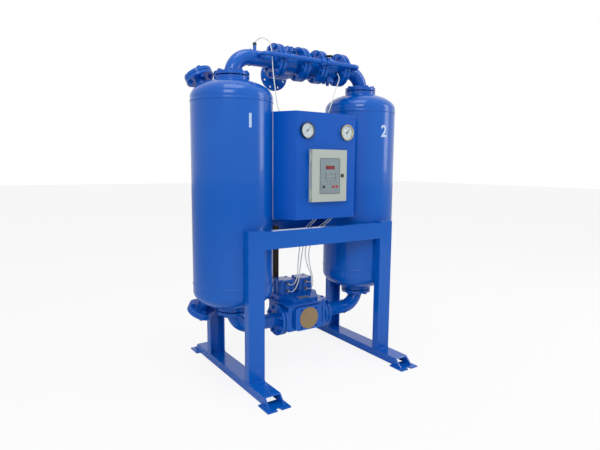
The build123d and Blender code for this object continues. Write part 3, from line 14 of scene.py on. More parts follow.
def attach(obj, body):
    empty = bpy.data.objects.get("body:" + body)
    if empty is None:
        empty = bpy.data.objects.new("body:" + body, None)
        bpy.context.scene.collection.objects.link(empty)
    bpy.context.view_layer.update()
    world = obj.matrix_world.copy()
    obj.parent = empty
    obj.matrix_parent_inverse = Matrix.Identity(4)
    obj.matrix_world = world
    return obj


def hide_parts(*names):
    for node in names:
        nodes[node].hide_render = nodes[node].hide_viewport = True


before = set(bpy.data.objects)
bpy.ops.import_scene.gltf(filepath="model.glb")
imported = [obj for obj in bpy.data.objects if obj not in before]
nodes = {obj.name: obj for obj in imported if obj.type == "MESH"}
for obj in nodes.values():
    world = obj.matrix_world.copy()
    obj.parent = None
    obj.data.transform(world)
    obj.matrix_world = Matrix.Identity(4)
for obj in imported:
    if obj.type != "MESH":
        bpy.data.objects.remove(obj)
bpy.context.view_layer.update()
print("nodes:", len(nodes))

# %% [markdown]
# The new pieces sit on the solids, so they need a few of the solids' own sizes. Each is written once, in
# metres, and the later cells build on it, so that a bolt or a weld can't drift away from its flange.

# %% Shared sizes
TOWER_X = 0.475
VESSEL_R = 0.233
TOP_Z = 1.871
LOW_Z = 0.291
PIPE_R = 0.0445
HALF_GASKET = 0.0015
FLANGE = 0.020
FACE = HALF_GASKET + FLANGE
TOP_JOINT_Z = 1.7515
LOW_JOINT_Z = 0.411
INLET_JOINT_X = 0.1655
LINE_JOINTS_X = (-0.190, -0.020, 0.113, 0.283)
BRANCH_X = 0.0465
COVER_Y = -0.268
print("tower axes at", -TOWER_X, "and", TOWER_X, "and flange faces", FACE, "from the middle of a gasket")


def made(label, *objs):
    """Print what a cell made."""
    print(label + ":", ", ".join(o.name for o in objs))


# %% [markdown]
# Paint, plastic and cast metal share three habits: the colour drifts a little, the gloss has a grain, and the
# face is never quite flat. An image could carry them, but it would need unwrapping and would blur close up.
# Three noise textures in object coordinates hold at any distance, and one group keeps them alike everywhere.

# %% Surface group
def surface_group():
    """Group: colour is mixed from the base to the dark one by slow noise, roughness is the base value plus
    the span times a finer noise, and the normal is bumped by the finest noise, as orange peel is."""
    group = bpy.data.node_groups.new("surface_skin", "ShaderNodeTree")
    face = group.interface
    for name, kind, value in (
        ("Colour", "NodeSocketColor", (0.5, 0.5, 0.5, 1)),
        ("Dark", "NodeSocketColor", (0.4, 0.4, 0.4, 1)),
        ("Drift Scale", "NodeSocketFloat", 3.0),
        ("Roughness", "NodeSocketFloat", 0.3),
        ("Roughness Span", "NodeSocketFloat", 0.1),
        ("Grain Scale", "NodeSocketFloat", 60.0),
        ("Bump Scale", "NodeSocketFloat", 350.0),
        ("Bump", "NodeSocketFloat", 0.05),
    ):
        socket = face.new_socket(name, in_out="INPUT", socket_type=kind)
        socket.default_value = value
    face.new_socket("Colour", in_out="OUTPUT", socket_type="NodeSocketColor")
    face.new_socket("Roughness", in_out="OUTPUT", socket_type="NodeSocketFloat")
    face.new_socket("Normal", in_out="OUTPUT", socket_type="NodeSocketVector")
    n, link = group.nodes, group.links.new
    into, out = n.new("NodeGroupInput"), n.new("NodeGroupOutput")
    place = n.new("ShaderNodeTexCoord")
    drift, grain, peel = (n.new("ShaderNodeTexNoise") for _ in range(3))
    mix = n.new("ShaderNodeMix")
    mix.data_type = "RGBA"
    span = n.new("ShaderNodeMath")
    span.operation = "MULTIPLY_ADD"
    bump = n.new("ShaderNodeBump")
    bump.inputs["Distance"].default_value = 0.0008
    for noise, scale, detail in ((drift, "Drift Scale", 4.0), (grain, "Grain Scale", 3.0),
                                 (peel, "Bump Scale", 2.0)):
        link(place.outputs["Object"], noise.inputs["Vector"])
        link(into.outputs[scale], noise.inputs["Scale"])
        noise.inputs["Detail"].default_value = detail
    link(drift.outputs["Fac"], mix.inputs["Factor"])
    link(into.outputs["Colour"], mix.inputs["A"])
    link(into.outputs["Dark"], mix.inputs["B"])
    link(grain.outputs["Fac"], span.inputs[0])
    link(into.outputs["Roughness Span"], span.inputs[1])
    link(into.outputs["Roughness"], span.inputs[2])
    link(into.outputs["Bump"], bump.inputs["Strength"])
    link(peel.outputs["Fac"], bump.inputs["Height"])
    link(mix.outputs["Result"], out.inputs["Colour"])
    link(span.outputs[0], out.inputs["Roughness"])
    link(bump.outputs["Normal"], out.inputs["Normal"])
    return group


SKIN = surface_group()
print("group:", SKIN.name)

# %% [markdown]
# A finish is two close colours, a gloss and the sizes of its noises. One helper places the group in a
# material. What is the same all over the surface, such as metal and clear coat, it sets on the shader itself,
# because the export reads it there.

# %% Material helpers
def srgb(r, g, b):
    """Linear colour of an sRGB triple from 0 to 255: ((c + 0.055) / 1.055) ** 2.4 above the toe, and
    c / 12.92 in it."""
    c = np.array([r, g, b]) / 255
    linear = np.where(c > 0.04045, ((c + 0.055) / 1.055) ** 2.4, c / 12.92)
    return (*linear.tolist(), 1)


def material(name, colour, dark, rough, span=0.08, drift=3, grain=60, peel=350, bump=0.04, **shader):
    """Material over the shared group; shader holds the Principled sockets that are the same all over."""
    mat = bpy.data.materials.new(name)
    mat.use_nodes = True
    tree = mat.node_tree
    skin = tree.nodes.new("ShaderNodeGroup")
    skin.node_tree = SKIN
    principled = tree.nodes["Principled BSDF"]
    for key, value in (("Colour", srgb(*colour)), ("Dark", srgb(*dark)), ("Drift Scale", drift),
                       ("Roughness", rough), ("Roughness Span", span), ("Grain Scale", grain),
                       ("Bump Scale", peel), ("Bump", bump)):
        skin.inputs[key].default_value = value
    for out, into in (("Colour", "Base Color"), ("Roughness", "Roughness"), ("Normal", "Normal")):
        tree.links.new(skin.outputs[out], principled.inputs[into])
    for key, value in shader.items():
        principled.inputs[key.replace("_", " ")].default_value = value
    return mat


def glass(name, tint, rough=0.02, ior=1.2):
    """Clear pane: full transmission and a low roughness. A weak index bends the dial's print little."""
    mat = bpy.data.materials.new(name)
    mat.use_nodes = True
    shader = mat.node_tree.nodes["Principled BSDF"]
    shader.inputs["Base Color"].default_value = srgb(*tint)
    shader.inputs["Roughness"].default_value = rough
    shader.inputs["Transmission Weight"].default_value = 1.0
    shader.inputs["IOR"].default_value = ior
    return mat


print("helpers: srgb, material, glass")

# %% [markdown]
# The dryer is sprayed in one glossy blue, and the folded cover in a duller coat of it. The cabinet is pale
# grey powder coat with a foil panel. Small parts are zinc, brass, bronze, gasket sheet, plastic and card. The
# clean metals have a high Metallic and no coat, the sintered bronze a middling one. The blue has a thin clear
# coat over a soft base, for its sharp highlights.

# %% Materials
M = {
    "blue": material("blue_paint", (0, 96, 192), (0, 82, 176), rough=0.16, peel=170, bump=0.022,
                     Specular_IOR_Level=0.26, Coat_Weight=0.20, Coat_Roughness=0.03),
    "cover": material("cover_paint", (0, 88, 188), (0, 80, 178), rough=0.26, peel=200, bump=0.02,
                      Specular_IOR_Level=0.24, Coat_Weight=0.06, Coat_Roughness=0.08),
    "cabinet": material("cabinet_paint", (178, 186, 178), (168, 176, 168), rough=0.38, bump=0.05),
    "panel": material("panel_foil", (130, 144, 148), (122, 136, 141), rough=0.42, span=0.06, peel=900,
                      bump=0.03),
    "panel_dark": material("panel_print_dark", (88, 100, 104), (78, 90, 94), rough=0.45, span=0.05),
    "print_light": material("print_light", (176, 188, 188), (166, 178, 178), rough=0.45, span=0.05),
    "numeral": material("tower_numeral", (188, 212, 236), (176, 200, 228), rough=0.4, span=0.06),
    "display": material("display_window", (128, 4, 26), (96, 2, 18), rough=0.16, span=0.04, Coat_Weight=0.3),
    "black": material("black_plastic", (22, 22, 24), (14, 14, 15), rough=0.42, span=0.1, bump=0.08),
    "red": material("red_plastic", (196, 40, 36), (170, 28, 26), rough=0.34, span=0.06),
    "steel": material("zinc_steel", (186, 190, 194), (160, 164, 168), rough=0.3, span=0.14, drift=8,
                      grain=200, peel=600, bump=0.05, Metallic=0.9),
    "dark_chrome": material("dark_bezel", (92, 94, 98), (70, 72, 76), rough=0.2, Metallic=1.0),
    "gold": material("gold_bezel", (206, 190, 148), (190, 172, 128), rough=0.18, Metallic=1.0),
    "brass": material("brass", (186, 150, 84), (160, 124, 62), rough=0.28, span=0.12, drift=12,
                      Metallic=1.0),
    "bronze": material("silencer_bronze", (70, 58, 44), (52, 42, 32), rough=0.62, span=0.14, drift=14,
                       grain=300, peel=900, bump=0.5, Metallic=0.45),
    "dial": material("dial_enamel", (230, 236, 240), (220, 228, 233), rough=0.35, span=0.05),
    "gasket": material("gasket_sheet", (24, 26, 30), (16, 17, 20), rough=0.75, span=0.1, bump=0.12),
    "card": material("cardboard", (158, 134, 98), (140, 118, 84), rough=0.85, drift=18, grain=260, peel=700,
                     bump=0.3),
    "tube": material("air_tube", (226, 228, 224), (210, 212, 206), rough=0.36, drift=8),
    "plate": material("name_plate", (176, 180, 180), (150, 154, 156), rough=0.32, span=0.12, drift=12,
                      Metallic=0.8),
    "bead": material("desiccant_beads", (236, 232, 220), (204, 198, 184), rough=0.85, span=0.1, drift=260,
                     grain=200, peel=260, bump=1.0),
    "glass": glass("gauge_glass", (246, 250, 250)),
}
print("materials:", len(M))

# %% [markdown]
# Most solids have the right shape already and only need their finish. Replacing them would gain nothing, so
# the material goes on the object's own slots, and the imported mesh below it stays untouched.

# %% Finish of the solids
FINISH = {
    "blue": "base_rail_left base_rail_right post_front_left post_front_right post_rear_left post_rear_right "
            "beam_front beam_rear vessel_left vessel_right fill_covers drain_covers outlet_pipe_left "
            "outlet_pipe_right check_valve_body_left check_valve_body_right check_valve_caps outlet_tee "
            "inlet_pipe_left inlet_pipe_right inlet_valve_body inlet_valve_cover actuator_left "
            "actuator_right purge_valve_body vessel_bolts line_bolts",
    "cover": "control_cover",
    "cabinet": "cabinet_body cabinet_door",
    "panel": "key_panel",
    "display": "display_window",
    "bead": "desiccant_bed_left desiccant_bed_right",
    "gasket": "gaskets",
    "steel": "check_poppet_left check_poppet_right valve_piston_left valve_piston_right",
    "brass": "actuator_fittings",
    "black": "purge_handwheel button_1 gauge_pointer_left gauge_pointer_right pilot_valves",
    "red": "button_2 button_3",
    "card": "port_disc",
    "bronze": "silencer",
    "dark_chrome": "gauge_case_left door_lock",
    "gold": "gauge_case_right",
    "dial": "gauge_dials",
    "glass": "gauge_glasses",
    "tube": "sensor_tube_left sensor_tube_right control_tube_1 control_tube_2 control_tube_3 control_tube_4",
}
for key, names in FINISH.items():
    for name in names.split():
        for slot in nodes[name].material_slots:
            slot.link = "OBJECT"
            slot.material = M[key]
print("finished solids:", sum(len(names.split()) for names in FINISH.values()))

# %% [markdown]
# Small hardware is made of turned and straight shapes. Blender's own cylinders would do, but each would be an
# object to place and join. Here a shape is just an array of points with a list of faces. Arrays are placed by
# one matrix product, and hundreds of them join into one mesh in no time.

# %% Shapes
def join(parts):
    """Join shapes: the faces of each are shifted by the number of points before it."""
    points, faces, base = [], [], 0
    for p, f in parts:
        points.append(p)
        faces += [[i + base for i in face] for face in f]
        base += len(p)
    return np.concatenate(points), faces


def turned(profile, n=32):
    """Turn a closed profile of (radius, height) about Z: x = r cos t, y = r sin t, with t = 2 pi k / n."""
    r, z = np.array(profile, float).T
    m = len(r)
    t = np.arange(n)[:, None] * (2 * math.pi / n)
    points = np.stack([r * np.cos(t), r * np.sin(t), np.broadcast_to(z, (n, m))], axis=2).reshape(-1, 3)
    k, i = np.indices((n, m))
    k_next, i_next = (k + 1) % n * m, (i + 1) % m
    faces = np.stack([k * m + i, k_next + i, k_next + i_next, k * m + i_next], axis=2)
    return points, faces.reshape(-1, 4).tolist()


def prism(outline, low, high):
    """Upright prism over an outline of (x, y): the outline at both heights, and a quad on each side."""
    xy = np.array(outline, float)
    n = len(xy)
    points = np.concatenate([np.c_[xy, np.full(n, low)], np.c_[xy, np.full(n, high)]])
    i = np.arange(n)
    k = (i + 1) % n
    return points, [i[::-1].tolist(), (i + n).tolist()] + np.c_[i, k, k + n, i + n].tolist()


def hexagon_head(across, height):
    """Hexagon of a width across flats. Its corners stand at (r cos t, r sin t), r = across / root 3. The last
    14 % of the height is a chamfer that draws them in to 0.8 r."""
    t = np.arange(6) * math.pi / 3
    r = np.array([1, 1, 0.80])[:, None] * (across / math.sqrt(3))
    z = np.broadcast_to(np.array([0, 0.86, 1])[:, None] * height, (3, 6))
    points = np.stack([r * np.cos(t), r * np.sin(t), z], axis=2).reshape(-1, 3)
    k, i = np.indices((2, 6)) * np.array([6, 1])[:, None, None]
    i_next = (i + 1) % 6
    sides = np.stack([i + k, i_next + k, i_next + k + 6, i + k + 6], axis=2).reshape(-1, 4)
    return points, [list(range(6))[::-1], list(range(12, 18))] + sides.tolist()


print("shapes: turned, prism, hexagon_head")

# %% [markdown]
# A finished object stands at the origin with its place in its mesh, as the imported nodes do. So places are
# matrices that move the points, and one helper builds the object, turns its faces outwards and lets it ride
# on the body that carries it.

# %% Placing and making
def moved(shape, matrix):
    """Points p become R p + t."""
    m = np.array(matrix)
    return shape[0] @ m[:3, :3].T + m[:3, 3], shape[1]


def frame_at(point, axis):
    """Matrix that takes the origin to the point and Z to the axis."""
    return Matrix.Translation(point) @ Vector(axis).to_track_quat("Z", "Y").to_matrix().to_4x4()


def piece(name, shape, mat, body="frame", smooth=None):
    """Object from a shape, riding on a body. Edges flatter than the smooth angle are shaded smooth."""
    mesh = bpy.data.meshes.new(name)
    mesh.from_pydata(shape[0].tolist(), [], shape[1])
    bm = bmesh.new()
    bm.from_mesh(mesh)
    bmesh.ops.recalc_face_normals(bm, faces=bm.faces)
    bm.to_mesh(mesh)
    bm.free()
    obj = bpy.data.objects.new(name, mesh)
    bpy.context.collection.objects.link(obj)
    mesh.materials.append(mat)
    if smooth is not None:
        mesh.shade_smooth()
        mesh.set_sharp_from_angle(angle=math.radians(smooth))
    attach(obj, body)
    return obj


print("helpers: moved, frame_at, piece")

# %% [markdown]
# Every flange pair is held by hexagon bolts on washers. The solids have plain ones, so the head, the nut and
# the small cap screw are made once here, with a chamfered hexagon and a thread end, and copied round.

# %% Bolt shapes
WASHER = 0.0026
HEAD = join([turned([(0, 0), (0.0150, 0), (0.0150, 0.0022), (0.0146, WASHER), (0, WASHER)], 24),
             moved(hexagon_head(0.0240, 0.0088), Matrix.Translation((0, 0, WASHER)))])
NUT = join([HEAD, turned([(0, 0), (0.0078, 0), (0.0078, 0.0165), (0.0066, 0.0180), (0, 0.0180)], 16)])
SMALL = join([turned([(0, 0), (0.0085, 0), (0.0085, 0.0014), (0, 0.0014)], 20),
              moved(hexagon_head(0.0130, 0.0055), Matrix.Translation((0, 0, 0.0014)))])


def shank(length, radius=0.008):
    """Plain round bar along Z: the part of a bolt that shows in the gap between two flanges."""
    return turned([(0, 0), (radius, 0), (radius, length), (0, length)], 12)


def ring_of(shape, centre, axis, radius, count, start, keep=None):
    """Copies of a shape on a circle: the k-th stands at the angle start + 360 k / count. It is turned in its
    own place by 1.7 times that angle, as no fitter leaves two heads alike. Those that keep refuses are left
    out."""
    base = frame_at(centre, axis)
    out = []
    for k in range(count):
        t = math.radians(start + 360 * k / count)
        spot = base @ Matrix.Translation((radius * math.cos(t), radius * math.sin(t), 0))
        if keep is None or keep(spot.translation):
            out.append(moved(shape, spot @ Matrix.Rotation(t * 1.7, 4, "Z")))
    return out


print("faces of a head, a nut and a small screw:", len(HEAD[1]), len(NUT[1]), len(SMALL[1]))

# %% [markdown]
# Each tower has a large flange above and below, and two slanted nozzles behind, one to fill the desiccant in
# and one to let it out, closed by blind covers. The dished ends are half ellipsoids. So the height of a
# nozzle's foot follows from its distance to the axis: it is the dish's rise times the square root of
# 1 - (distance / radius) squared.

# %% Tower fasteners
RING_R = 0.080
BOLTS = 8
GAP = 2 * HALF_GASKET + 0.004
DISH_RISE = 0.105
NOZZLE_AZIMUTH = math.radians(124)
NOZZLE_LEAN = math.radians(28)
NOZZLE_FACE = HALF_GASKET + 0.018
NOZZLE_GAP = 0.005
NOZZLE_RING_R = 0.0625
NOZZLES = (
    # way up, distance from the tower's axis, height where the shell ends, length of the neck
    (1, 0.180, 1.632, 0.0755),
    (-1, 0.1814, 0.530, 0.1013),
)
tower_parts = []
for side, start in ((-1, 11), (1, 34)):
    x = side * TOWER_X
    for joint_z, way in ((TOP_JOINT_Z, 1), (LOW_JOINT_Z, -1)):
        tower_parts += ring_of(HEAD, (x, 0, joint_z + way * FACE), (0, 0, way), RING_R, BOLTS, start)
        tower_parts += ring_of(shank(GAP), (x, 0, joint_z - GAP / 2), (0, 0, 1), RING_R, BOLTS, start)
    out = Vector((-side * math.cos(NOZZLE_AZIMUTH), math.sin(NOZZLE_AZIMUTH), 0))
    for way, reach, shell_z, length in NOZZLES:
        axis = out * math.sin(NOZZLE_LEAN) + Vector((0, 0, way * math.cos(NOZZLE_LEAN)))
        foot_z = shell_z + way * DISH_RISE * math.sqrt(1 - (reach / VESSEL_R) ** 2)
        foot = Vector((x, 0, foot_z)) + out * reach
        for shape, along, sense in ((HEAD, length + NOZZLE_FACE, 1), (NUT, length - NOZZLE_FACE, -1),
                                    (shank(NOZZLE_GAP), length - NOZZLE_GAP / 2, 1)):
            tower_parts += ring_of(shape, foot + axis * along, axis * sense, NOZZLE_RING_R, 4, 45)
tower_fasteners = piece("tower_fasteners", join(tower_parts), M["blue"])
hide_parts("vessel_bolts")
made("tower fasteners", tower_fasteners)

# %% [markdown]
# The outlet line has four flange pairs and the inlet valve two. The tee's branch leaves to the back between
# two of them, where no bolt can be put in beside it, so a test on the place leaves those out. The valve's
# cover and the check valves' caps have small screws of their own.

# %% Line fasteners
VALVE_COVER_Z = 0.397
CAP_RISE = 0.086
CAP_RING_R = 0.028
CHECK_VALVES = ((-0.105, 1), (0.198, -1))
LINE_TURN = 22.5
BRANCH_ROOM = 0.058


def clear_of_branch(spot):
    """True in front of the line, and behind it where the height differs enough from the branch's axis."""
    return spot.y < 0 or abs(spot.z - TOP_Z) > BRANCH_ROOM


line_parts = []
for x, left_keep, right_keep in zip(LINE_JOINTS_X, (None, None, clear_of_branch, None),
                                    (None, clear_of_branch, None, None)):
    line_parts += ring_of(HEAD, (x - FACE, 0, TOP_Z), (-1, 0, 0), RING_R, BOLTS, LINE_TURN, left_keep)
    line_parts += ring_of(NUT, (x + FACE, 0, TOP_Z), (1, 0, 0), RING_R, BOLTS, LINE_TURN, right_keep)
    line_parts += ring_of(shank(GAP), (x - GAP / 2, 0, TOP_Z), (1, 0, 0), RING_R, BOLTS, LINE_TURN)
for side in (-1, 1):
    for shape, x in ((HEAD, INLET_JOINT_X + FACE), (shank(GAP), INLET_JOINT_X - GAP / 2)):
        line_parts += ring_of(shape, (side * x, 0, LOW_Z), (side, 0, 0), RING_R, BOLTS, LINE_TURN)
valve_screws = [(x, -0.097) for x in (-0.1155, -0.0385, 0.0385, 0.1155)]
valve_screws += [(x, y) for x in (-0.158, 0.158) for y in (-0.025, 0.052, 0.129)]
line_parts += [moved(SMALL, frame_at((x, y, VALVE_COVER_Z), (0, 0, 1))) for x, y in valve_screws]
for x, way in CHECK_VALVES:
    line_parts += ring_of(SMALL, (x, 0, TOP_Z + way * CAP_RISE), (0, 0, way), CAP_RING_R, 6, 0)
line_fasteners = piece("line_fasteners", join(line_parts), M["blue"])
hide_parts("line_bolts")
made("line fasteners", line_fasteners)

# %% [markdown]
# The caps of the two air actuators are held by four socket screws each, one over every lobe of the cylinder.
# A turned profile with a step in its top gives the socket, which reads as a dark point from further away.

# %% Actuator screws
ACTUATOR_X = 0.069
ACTUATOR_Y = 0.086
ACTUATOR_TOP_Z = 0.525
LOBE = 0.040
SOCKET = turned([(0, 0), (0.0060, 0), (0.0060, 0.0030), (0.0053, 0.0036), (0.0030, 0.0036), (0.0030, 0.0014),
                 (0, 0.0014)], 20)
screws = [moved(SOCKET, Matrix.Translation((side * ACTUATOR_X + dx, ACTUATOR_Y + dy, ACTUATOR_TOP_Z)))
          for side in (-1, 1) for dx in (-LOBE, LOBE) for dy in (-LOBE, LOBE)]
actuator_screws = piece("actuator_screws", join(screws), M["blue"], smooth=40)
made("actuator screws", actuator_screws)

# %% [markdown]
# Pipes are welded to flanges and elbows, and the posts to the rails. A weld is a low rounded ridge under the
# paint. As a bump it would be lost in the outline, so each is a thin ring or bar, sunk halfway into its seam.

# %% Weld beads
def bead_ring(centre, axis, radius, size=0.0035):
    """Ring weld: a small circle of the given size, turned about the axis at the radius."""
    t = np.arange(8) * math.pi / 4
    profile = np.c_[radius + size * np.cos(t), size * np.sin(t)]
    return moved(turned(profile, 40), frame_at(centre, axis))


def bead_run(a, b, size=0.003):
    """Straight weld from a to b: an eight-sided bar whose radius is size (1 + 0.1 sin(1100 s)), with s the
    distance along it in metres."""
    a, b = Vector(a), Vector(b)
    length = (b - a).length
    n = max(4, int(length / 0.006))
    s = np.linspace(0, length, n)[:, None]
    t = np.arange(8) * math.pi / 4
    r = size * (1 + 0.10 * np.sin(s * 1100))
    points = np.stack([r * np.cos(t), r * np.sin(t), np.broadcast_to(s, (n, 8))], axis=2).reshape(-1, 3)
    i, k = np.indices((n - 1, 8))
    k_next = (k + 1) % 8
    sides = np.stack([i * 8 + k, i * 8 + k_next, (i + 1) * 8 + k_next, (i + 1) * 8 + k], axis=2)
    faces = sides.reshape(-1, 4).tolist() + [list(range(8))[::-1], list(range(8 * n - 8, 8 * n))]
    return moved((points, faces), frame_at(a, b - a))


print("helpers: bead_ring, bead_run")

# %% [markdown]
# Rings go where a pipe enters a flange, where an elbow begins, and where the small purge pipe meets the
# outlet line. Runs go round the posts' feet, along the mitres at their tops, and along the feet of the rails.

# %% Welds
ROOT_R = PIPE_R + 0.001
ELBOW_X = 0.361
NECK_FOOT_Z = 1.7245
NECK_R = 0.1005
HALF_CHANNEL = 0.050
RAIL_TOP_Z = 0.0565
POST_WEB_Y = 0.286
POST_BACK_Y = 0.238
BEAM_Z = (0.800, 0.900)
FOOT_Z = 0.0085
FOOT_Y = (0.425, 0.498)
BRANCH_ROOT_Y = 0.4045
PURGE_ENDS_X = (-0.327, 0.358)
PURGE_ROOT_Y = -0.044
PURGE_Z = TOP_Z + 0.009
beads = []
for side in (-1, 1):
    x = side * TOWER_X
    beads += [
        bead_ring((x, 0, TOP_JOINT_Z + FACE + 0.001), (0, 0, 1), ROOT_R),
        bead_ring((side * ELBOW_X, 0, TOP_Z), (1, 0, 0), PIPE_R),
        bead_ring((x, 0, NECK_FOOT_Z), (0, 0, 1), NECK_R),
        bead_ring((x, 0, LOW_JOINT_Z - FACE - 0.0005), (0, 0, 1), ROOT_R),
        bead_ring((side * ELBOW_X, 0, LOW_Z), (1, 0, 0), PIPE_R),
        bead_ring((side * (INLET_JOINT_X + FACE + 0.0005), 0, LOW_Z), (1, 0, 0), ROOT_R),
    ]
    left, right = x - HALF_CHANNEL, x + HALF_CHANNEL
    inner, outer = x - side * HALF_CHANNEL, x + side * HALF_CHANNEL
    for way in (-1, 1):
        web, back = way * POST_WEB_Y, way * POST_BACK_Y
        beads += [
            bead_run((left, web, RAIL_TOP_Z), (right, web, RAIL_TOP_Z)),
            bead_run((left, web, RAIL_TOP_Z), (left, back, RAIL_TOP_Z)),
            bead_run((right, web, RAIL_TOP_Z), (right, back, RAIL_TOP_Z)),
            bead_run((inner, web, BEAM_Z[0]), (outer, web, BEAM_Z[1]), 0.0014),
            bead_run((left, way * FOOT_Y[0], FOOT_Z), (left, way * FOOT_Y[1], FOOT_Z)),
            bead_run((right, way * FOOT_Y[0], FOOT_Z), (right, way * FOOT_Y[1], FOOT_Z)),
        ]
beads += [bead_ring((x, 0, TOP_Z), (1, 0, 0), ROOT_R)
          for x in (LINE_JOINTS_X[0] - FACE - 0.001, LINE_JOINTS_X[3] + FACE + 0.001)]
beads.append(bead_ring((BRANCH_X, BRANCH_ROOT_Y, TOP_Z), (0, 1, 0), ROOT_R))
beads += [bead_ring((x, PURGE_ROOT_Y, PURGE_Z), (0, 1, 0), 0.0145, 0.002) for x in PURGE_ENDS_X]
welds = piece("welds", join(beads), M["blue"], smooth=60)
made("welds", welds)

# %% [markdown]
# A pale numeral on each shell tells the towers apart. A text laid flat on a cylinder would sink in at its
# middle. So the text becomes a mesh, is cut into narrow strips, and is wrapped on the shell.

# %% Text
def text_mesh(body, height, depth, thicken=0.0):
    """Points and faces of a word: x centred, y from 0 to the height, z from - depth / 2 to depth / 2. Upright
    cuts, 24 over the first letter's width, let it bend."""
    curve = bpy.data.curves.new("text", "FONT")
    curve.body = body
    curve.size = 1.0
    curve.extrude = 0.5
    curve.offset = thicken
    obj = bpy.data.objects.new("text", curve)
    bpy.context.collection.objects.link(obj)
    mesh = bpy.data.meshes.new_from_object(obj.evaluated_get(bpy.context.evaluated_depsgraph_get()))
    bm = bmesh.new()
    bm.from_mesh(mesh)
    bmesh.ops.remove_doubles(bm, verts=bm.verts, dist=1e-5)
    bmesh.ops.triangulate(bm, faces=bm.faces)
    for cut in np.linspace(-0.2, 0.9, 24):
        bmesh.ops.bisect_plane(bm, geom=bm.verts[:] + bm.edges[:] + bm.faces[:],
                               plane_co=(cut, 0, 0), plane_no=(1, 0, 0))
    bmesh.ops.triangulate(bm, faces=bm.faces)
    points = np.array([v.co for v in bm.verts])
    faces = [[v.index for v in f.verts] for f in bm.faces]
    bm.free()
    bpy.data.meshes.remove(mesh)
    bpy.data.objects.remove(obj)
    bpy.data.curves.remove(curve)
    low, high = points.min(0), points.max(0)
    k = height / (high[1] - low[1])
    points[:, 0] = (points[:, 0] - (low[0] + high[0]) / 2) * k
    points[:, 1] = (points[:, 1] - low[1]) * k
    points[:, 2] *= depth
    return points, faces


print("helper: text_mesh")

# %% [markdown]
# Each numeral stands a little off the front line of its tower. The angle is measured round the tower's axis
# from +X, so that 270 degrees is the front.

# %% Numerals
NUMERAL_HEIGHT = 0.075
PRINT_DEPTH = 0.0004
STROKE = 0.02


def on_shell(shape, tower, angle, z):
    """Wrap on the shell: t = angle + x / R and r = R + seat + depth, with a seat as thick as the print."""
    x, y, d = shape[0].T
    t = math.radians(angle) + x / VESSEL_R
    r = VESSEL_R + PRINT_DEPTH + d
    return np.c_[tower + r * np.cos(t), r * np.sin(t), z + y], shape[1]


numerals = []
for digit, x, angle, z in (("1", -TOWER_X, 268.3, 1.457), ("2", TOWER_X, 271.3, 1.445)):
    flat = text_mesh(digit, NUMERAL_HEIGHT, PRINT_DEPTH, STROKE)
    numerals.append(piece("numeral_" + digit, on_shell(flat, x, angle, z), M["numeral"]))
made("numerals", *numerals)

# %% [markdown]
# Dials and the key panel face the front. Their prints are drawn flat, with y up, and then stood upright, so
# that the drawing reads as on paper. They are real shapes of a few tenths of a millimetre: an image would
# need its own unwrapping for every dial, and would blur where the camera comes close.

# %% Flat prints
PRINT_LOW = 0.0001
PRINT_HIGH = 0.0004


def upright(shape, x, y, z):
    """Local (a, b, d) becomes (x + a, y - d, z + b)."""
    a, b, d = shape[0].T
    return np.c_[x + a, y - d, z + b], shape[1]


def tick(radius, length, width, angle):
    """Bar that ends at the radius, at a clockwise angle from the top."""
    flat = prism([(-width / 2, radius - length), (width / 2, radius - length), (width / 2, radius),
                  (-width / 2, radius)], PRINT_LOW, PRINT_HIGH)
    return moved(flat, Matrix.Rotation(-math.radians(angle), 4, "Z"))


def arc(radius, width, start, end, n=48):
    """Flat band between two clockwise angles t from the top: x = r sin t, y = r cos t on its two edges."""
    t = np.radians(np.linspace(start, end, n))
    ring = np.r_[np.c_[(radius + width / 2) * np.sin(t), (radius + width / 2) * np.cos(t)],
                 np.c_[(radius - width / 2) * np.sin(t), (radius - width / 2) * np.cos(t)]]
    low, high = np.c_[ring, np.full(2 * n, PRINT_LOW)], np.c_[ring, np.full(2 * n, PRINT_HIGH)]
    i = np.arange(n - 1)
    quads = [np.c_[i, i + 1, i + 1 + n, i + n] + 2 * n, np.c_[i + n, i + 1 + n, i + 1, i],
             np.c_[i, i + 2 * n, i + 1 + 2 * n, i + 1], np.c_[i + 1 + n, i + 1 + 3 * n, i + 3 * n, i + n]]
    ends = [[0, n, 3 * n, 2 * n], [n - 1, 3 * n - 1, 4 * n - 1, 2 * n - 1]]
    return np.r_[low, high], np.concatenate(quads).tolist() + ends


print("helpers: upright, tick, arc")

# %% [markdown]
# A pressure gauge has a scale line over three quarters of a turn, thirty small divisions with each fifth one
# bold, and figures inside it. The two gauges are alike, so one face is drawn and set down twice.

# %% Gauge dials
GAUGE_X = 0.142
GAUGE_Z = 1.455
DIAL_Y = COVER_Y - 0.0055
SCALE_R = 0.0335
SWEEP = 135
FIGURE_R = 0.0225
FIGURE_HEIGHT = 0.0052
prints = [arc(SCALE_R, 0.0006, -SWEEP, SWEEP)]
for k in range(31):
    length, width = (0.0055, 0.0009) if k % 5 == 0 else (0.003, 0.0004)
    prints.append(tick(SCALE_R, length, width, -SWEEP + 9 * k))
for k, figure in enumerate(("0", "4", "8", "12")):
    t = math.radians(-SWEEP + 90 * k)
    place = (FIGURE_R * math.sin(t), FIGURE_R * math.cos(t) - FIGURE_HEIGHT / 2, 0.0002)
    prints.append(moved(text_mesh(figure, FIGURE_HEIGHT, 0.0003), Matrix.Translation(place)))
dial_face = join(prints)
faces = [upright(dial_face, x, DIAL_Y, GAUGE_Z) for x in (-GAUGE_X, GAUGE_X)]
dial_prints = piece("dial_prints", join(faces), M["black"])
made("dial prints", dial_prints)

# %% [markdown]
# The controller's foil panel is set in a dark line, and carries a plain flow chart of the two towers, small
# lamps and red digits in its window. It sits on the door, so every mark on it rides on the door's body.

# %% Panel marks
PANEL_Y = -0.3015
MARK_LOW = 0.00005


